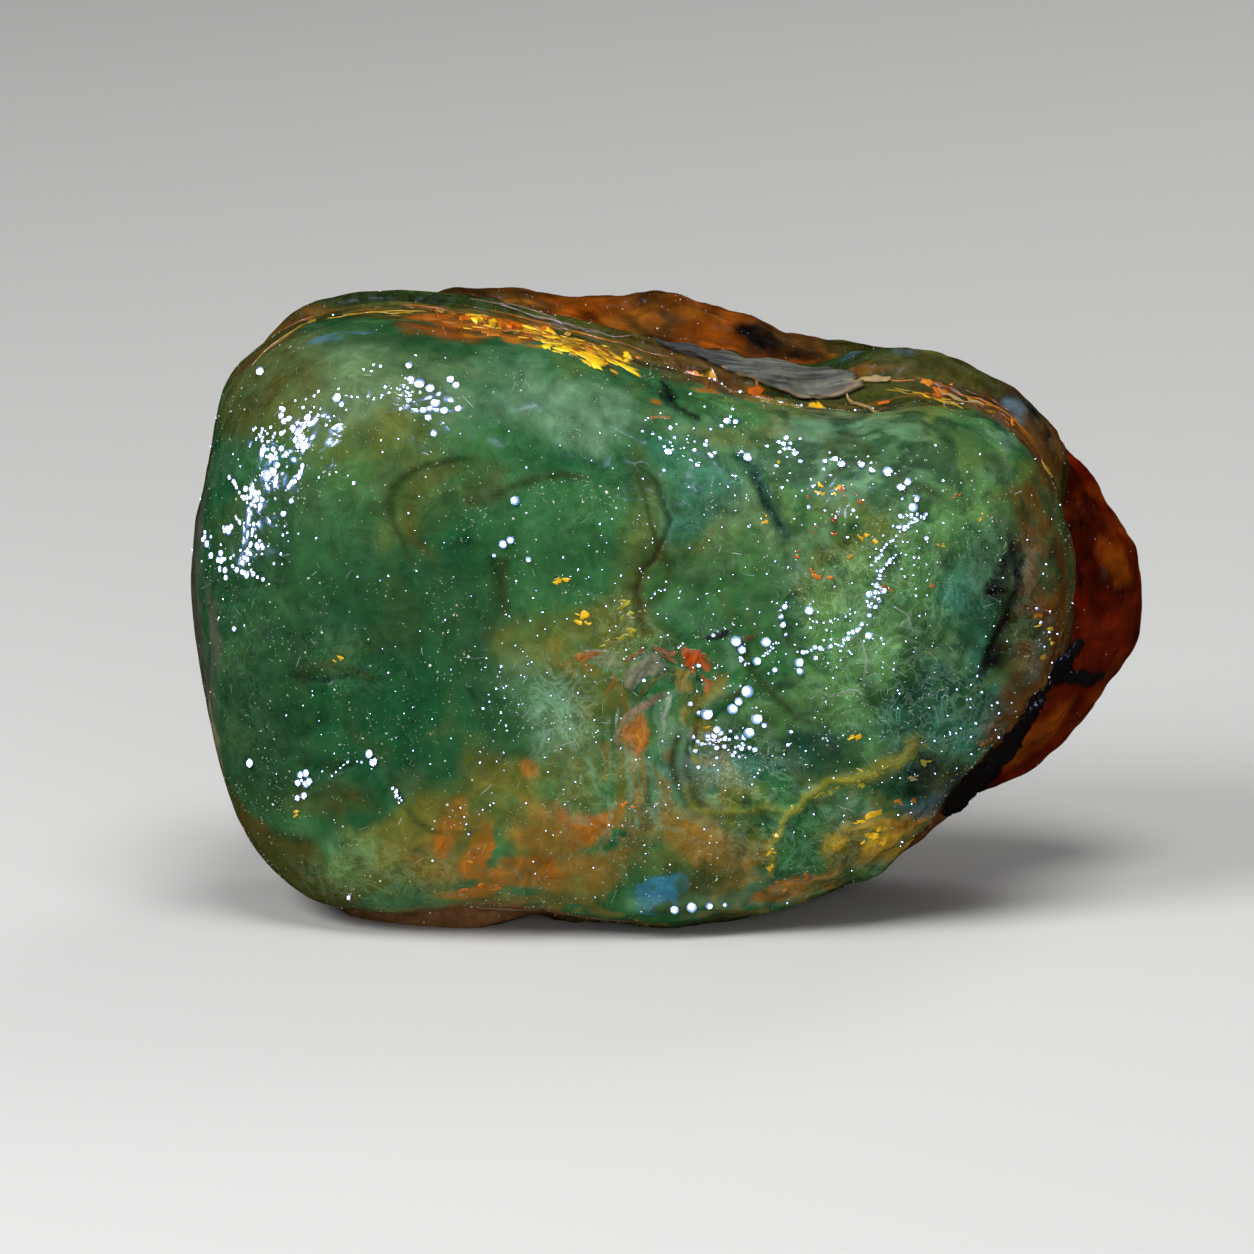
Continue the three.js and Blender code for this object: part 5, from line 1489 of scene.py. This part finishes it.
class AMBER_OT_flakes(bpy.types.Operator):
    """Golden and orange flakes and threads in the seam over the top, and crumbs in the face."""

    bl_idname = "amber.flakes"
    bl_label = "Flakes and threads"

    def execute(self, context):
        tones = palette()
        rng = np.random.default_rng(7)
        # Thin clear resin under a wet skin: a clean colour with a sharp gloss.
        wet = {"Coat Weight": 1.0, "Coat Roughness": 0.06}
        gloss = tinted_material("clear yellow resin flakes", 0.2, wet)
        for name, make in (("seam_flakes", seam_flakes), ("crumbs", crumbs), ("seam_threads", seam_threads)):
            points, faces, tone = make(rng, tones)
            add_piece(name, points, faces, gloss, "amber", tint=for_points(tone, points))
        return {"FINISHED"}


class AMBER_OT_scratches(bpy.types.Operator):
    """Fine pale scratches and fibres, curved and short, where the skin is hazy."""

    bl_idname = "amber.scratches"
    bl_label = "Scratches"

    def execute(self, context):
        count = context.scene.amber_sizes.scratches
        rng = np.random.default_rng(13)
        x, z = rng.uniform(-31, 27, count * 12), rng.uniform(2, 38, count * 12)
        spot = np.stack([x, 0 * x - 14, z], axis=-1)
        crowd = 0.04 + zone_mask(spot, HAZES, 70) ** 2 * smooth(-0.3, 0.5, noise(spot, 3, 15, 2))
        keep = np.nonzero(rng.uniform(size=len(x)) < crowd)[0][:count]
        count = len(keep)
        heading = rng.uniform(0, TURN, (count, 1))
        bend = rng.normal(0, 0.18, (count, 1))
        run = np.clip(rng.lognormal(-0.7, 0.6, (count, 1)), 0.15, 2.0)
        at = np.linspace(-0.5, 0.5, 8)
        angle = heading + bend * at * 2 + 0.12 * np.sin(at * 9 + heading * 5)
        step_x = np.cumsum(np.cos(angle), axis=1) / 8 * run
        step_z = np.cumsum(np.sin(angle), axis=1) / 8 * run
        turn, along = on_face(x[keep, None] + step_x, z[keep, None] + step_z)
        rows = strands(turn, along, rng.uniform(0.01, 0.032, count), 0.012, 16, 5, 0.4, 0.0)
        tone = np.array(linear("#b4cbbf")[:3]) * rng.uniform(0.4, 1.0, (count, 1)) ** 3
        points, faces = closed_grids(rows)
        # Crushed resin powder: pale and half dull.
        chalk = tinted_material("chalky scratches", 0.5)
        add_piece("scratches", points, faces, chalk, "straw", tint=for_points(tone, points))
        return {"FINISHED"}


class AMBER_OT_dust(bpy.types.Operator):
    """Pale specks of dust and mineral stuck all over the lump, half of them tried on the front."""

    bl_idname = "amber.dust"
    bl_label = "Dust"

    def execute(self, context):
        sizes = context.scene.amber_sizes
        rng = np.random.default_rng(11)
        turn = rng.uniform(0, TURN, sizes.specks * 4)
        face = on_face(rng.uniform(-31, 28, len(turn) // 2), rng.uniform(1.5, 39, len(turn) // 2))
        turn[: len(face[0])] = face[0]
        along = rng.uniform(0.4, 0.95, len(turn))
        along[: len(face[1])] = face[1]
        middle = surface(turn, along)
        crowd = 0.12 + smooth(0.0, 0.6, noise(middle, 2.2, 12, 3)) + 0.35 * zone_mask(middle, PEELS, 80)
        keep = np.nonzero(rng.uniform(0, 1.2, len(turn)) < crowd)[0][: sizes.specks]
        middle, up = middle[keep], outward(turn[keep], along[keep])
        radius = np.clip(rng.lognormal(math.log(sizes.speck / 2 / MM), 0.5, len(keep)), 0.02, 0.12)
        side = np.cross(up, rng.normal(size=up.shape))
        side /= np.linalg.norm(side, axis=1, keepdims=True)
        other = np.cross(up, side)
        axes = np.stack([side, other, -side, -other, up * 0.7, -up * 0.7], axis=1)
        points = middle[:, None] + axes * radius[:, None, None] * rng.uniform(0.75, 1.25, (len(keep), 6, 1))
        # Each speck is an octahedron: four corners round the skin, one out of it and one into it.
        round_ = [(k, (k + 1) % 4) for k in range(4)]
        faces = np.array([(a, b, 4) for a, b in round_] + [(b, a, 5) for a, b in round_])
        faces = (faces[None] + 6 * np.arange(len(keep))[:, None, None]).reshape(-1, 3)
        tones = np.array([linear(h)[:3] for h in ("#dfe6da", "#c8d2bd", "#b9a77c", "#8d9c86")])
        tint = tones[rng.choice(4, len(keep), p=[0.35, 0.35, 0.1, 0.2])] * rng.uniform(0.3, 1, (len(keep), 1))
        # Mineral grit: each speck has a little gloss.
        dust = tinted_material("mineral dust", 0.4)
        add_piece("dust", points, faces.tolist(), dust, "straw", tint=np.repeat(tint, 6, axis=0))
        return {"FINISHED"}


def add_floor(scene):
    """A plain pale board, 4 m square, that the amber doesn't mirror."""
    half = 2.0
    corners = [(-half, -half, 0), (half, -half, 0), (half, half, 0), (-half, half, 0)]
    mesh = bpy.data.meshes.new("floor")
    mesh.from_pydata(corners, [], [(0, 1, 2, 3)])
    # Matt card: an even tone with soft shadows.
    material, tree, output = new_material("pale matt board")
    shader = add_node(tree, "ShaderNodeBsdfPrincipled", {"Base Color": linear("#c6c6c4"), "Roughness": 0.6})
    tree.links.new(shader.outputs[0], output.inputs["Surface"])
    mesh.materials.append(material)
    floor = bpy.data.objects.new("floor", mesh)
    scene.collection.objects.link(floor)
    floor.visible_glossy = False


def add_world(scene):
    """A weak, even light from all round, which the amber doesn't mirror."""
    world = bpy.data.worlds.new("soft room")
    world.use_nodes = True
    background = world.node_tree.nodes["Background"]
    background.inputs["Color"].default_value = linear("#e6e6e6")
    background.inputs["Strength"].default_value = 0.22
    world.cycles_visibility.glossy = False
    scene.world = world


def add_lamps(scene):
    """Softboxes, which only light the lump, and sparks with blue halos, which only make glints."""
    halos = [
        (f"{name} halo", azimuth, elevation, distance * HALO_DISTANCE, size * HALO_WIDTH, watts * HALO_POWER)
        for name, azimuth, elevation, distance, size, watts in SPARKS
    ]
    kinds = (SOFTBOXES, "#ffffff", True), (SPARKS, "#dbe6ff", False), (halos, "#3d6cff", False)
    for lamps, tone, soft in kinds:
        for name, azimuth, elevation, distance, size, watts in lamps:
            light = bpy.data.lights.new(name, "AREA")
            light.shape = "DISK"
            light.size = size
            light.energy = watts
            light.color = linear(tone)[:3]
            lamp = bpy.data.objects.new(name, light)
            lamp.location = lamp_place(azimuth, elevation, distance)
            lamp.rotation_euler = (math.pi / 2 - math.radians(elevation), 0, math.radians(azimuth))
            lamp.visible_glossy = not soft
            lamp.visible_diffuse = soft
            lamp.visible_transmission = soft
            scene.collection.objects.link(lamp)


def add_camera(scene):
    """A camera far off with a long lens: its view is VIEW_WIDTH wide at the lump."""
    data = bpy.data.cameras.new("camera")
    camera = bpy.data.objects.new("camera", data)
    camera.location = viewer()
    camera.rotation_euler = (math.pi / 2 - math.radians(VIEW_ELEVATION), 0, 0)
    data.sensor_width = SENSOR
    data.lens = SENSOR * scene.amber_sizes.camera_distance / (VIEW_WIDTH * MM)
    data.clip_end = 20
    scene.collection.objects.link(camera)
    scene.camera = camera


class AMBER_OT_stage(bpy.types.Operator):
    """The pale floor, the soft light and the camera."""

    bl_idname = "amber.stage"
    bl_label = "Stage"

    def execute(self, context):
        scene = context.scene
        add_floor(scene)
        add_world(scene)
        add_lamps(scene)
        add_camera(scene)
        scene.view_settings.view_transform = "Standard"
        scene.cycles.max_bounces = 5
        scene.cycles.diffuse_bounces = 2
        scene.cycles.glossy_bounces = 2
        scene.cycles.transmission_bounces = 5
        scene.cycles.caustics_reflective = False
        scene.cycles.caustics_refractive = False
        return {"FINISHED"}


class AMBER_PT_panel(bpy.types.Panel):
    """Lists what the lump is made of."""

    bl_label = "Rough amber"
    bl_idname = "AMBER_PT_panel"
    bl_space_type = "VIEW_3D"
    bl_region_type = "UI"
    bl_category = "Amber"

    def draw(self, context):
        for group in (context.scene.amber_sizes, context.scene.amber_colours):
            for name in type(group).__annotations__:
                self.layout.prop(group, name)
        for operator in OPERATORS:
            self.layout.operator(operator.bl_idname)


OPERATORS = (
    AMBER_OT_front, AMBER_OT_slab, AMBER_OT_slivers, AMBER_OT_films, AMBER_OT_beads, AMBER_OT_flakes,
    AMBER_OT_scratches, AMBER_OT_dust, AMBER_OT_stage,
)
CLASSES = (AmberSizes, AmberColours, *OPERATORS, AMBER_PT_panel)


def register():
    """Register the classes and hang the sizes and colours on the scene."""
    for cls in CLASSES:
        bpy.utils.register_class(cls)
    bpy.types.Scene.amber_sizes = PointerProperty(type=AmberSizes)
    bpy.types.Scene.amber_colours = PointerProperty(type=AmberColours)


def unregister():
    """Undo register."""
    del bpy.types.Scene.amber_colours
    del bpy.types.Scene.amber_sizes
    for cls in reversed(CLASSES):
        bpy.utils.unregister_class(cls)


def main():
    """Build every piece and the stage."""
    register()
    bpy.ops.amber.front()
    bpy.ops.amber.slab()
    bpy.ops.amber.slivers()
    bpy.ops.amber.films()
    bpy.ops.amber.beads()
    bpy.ops.amber.flakes()
    bpy.ops.amber.scratches()
    bpy.ops.amber.dust()
    bpy.ops.amber.stage()


if __name__ == "__main__":
    main()
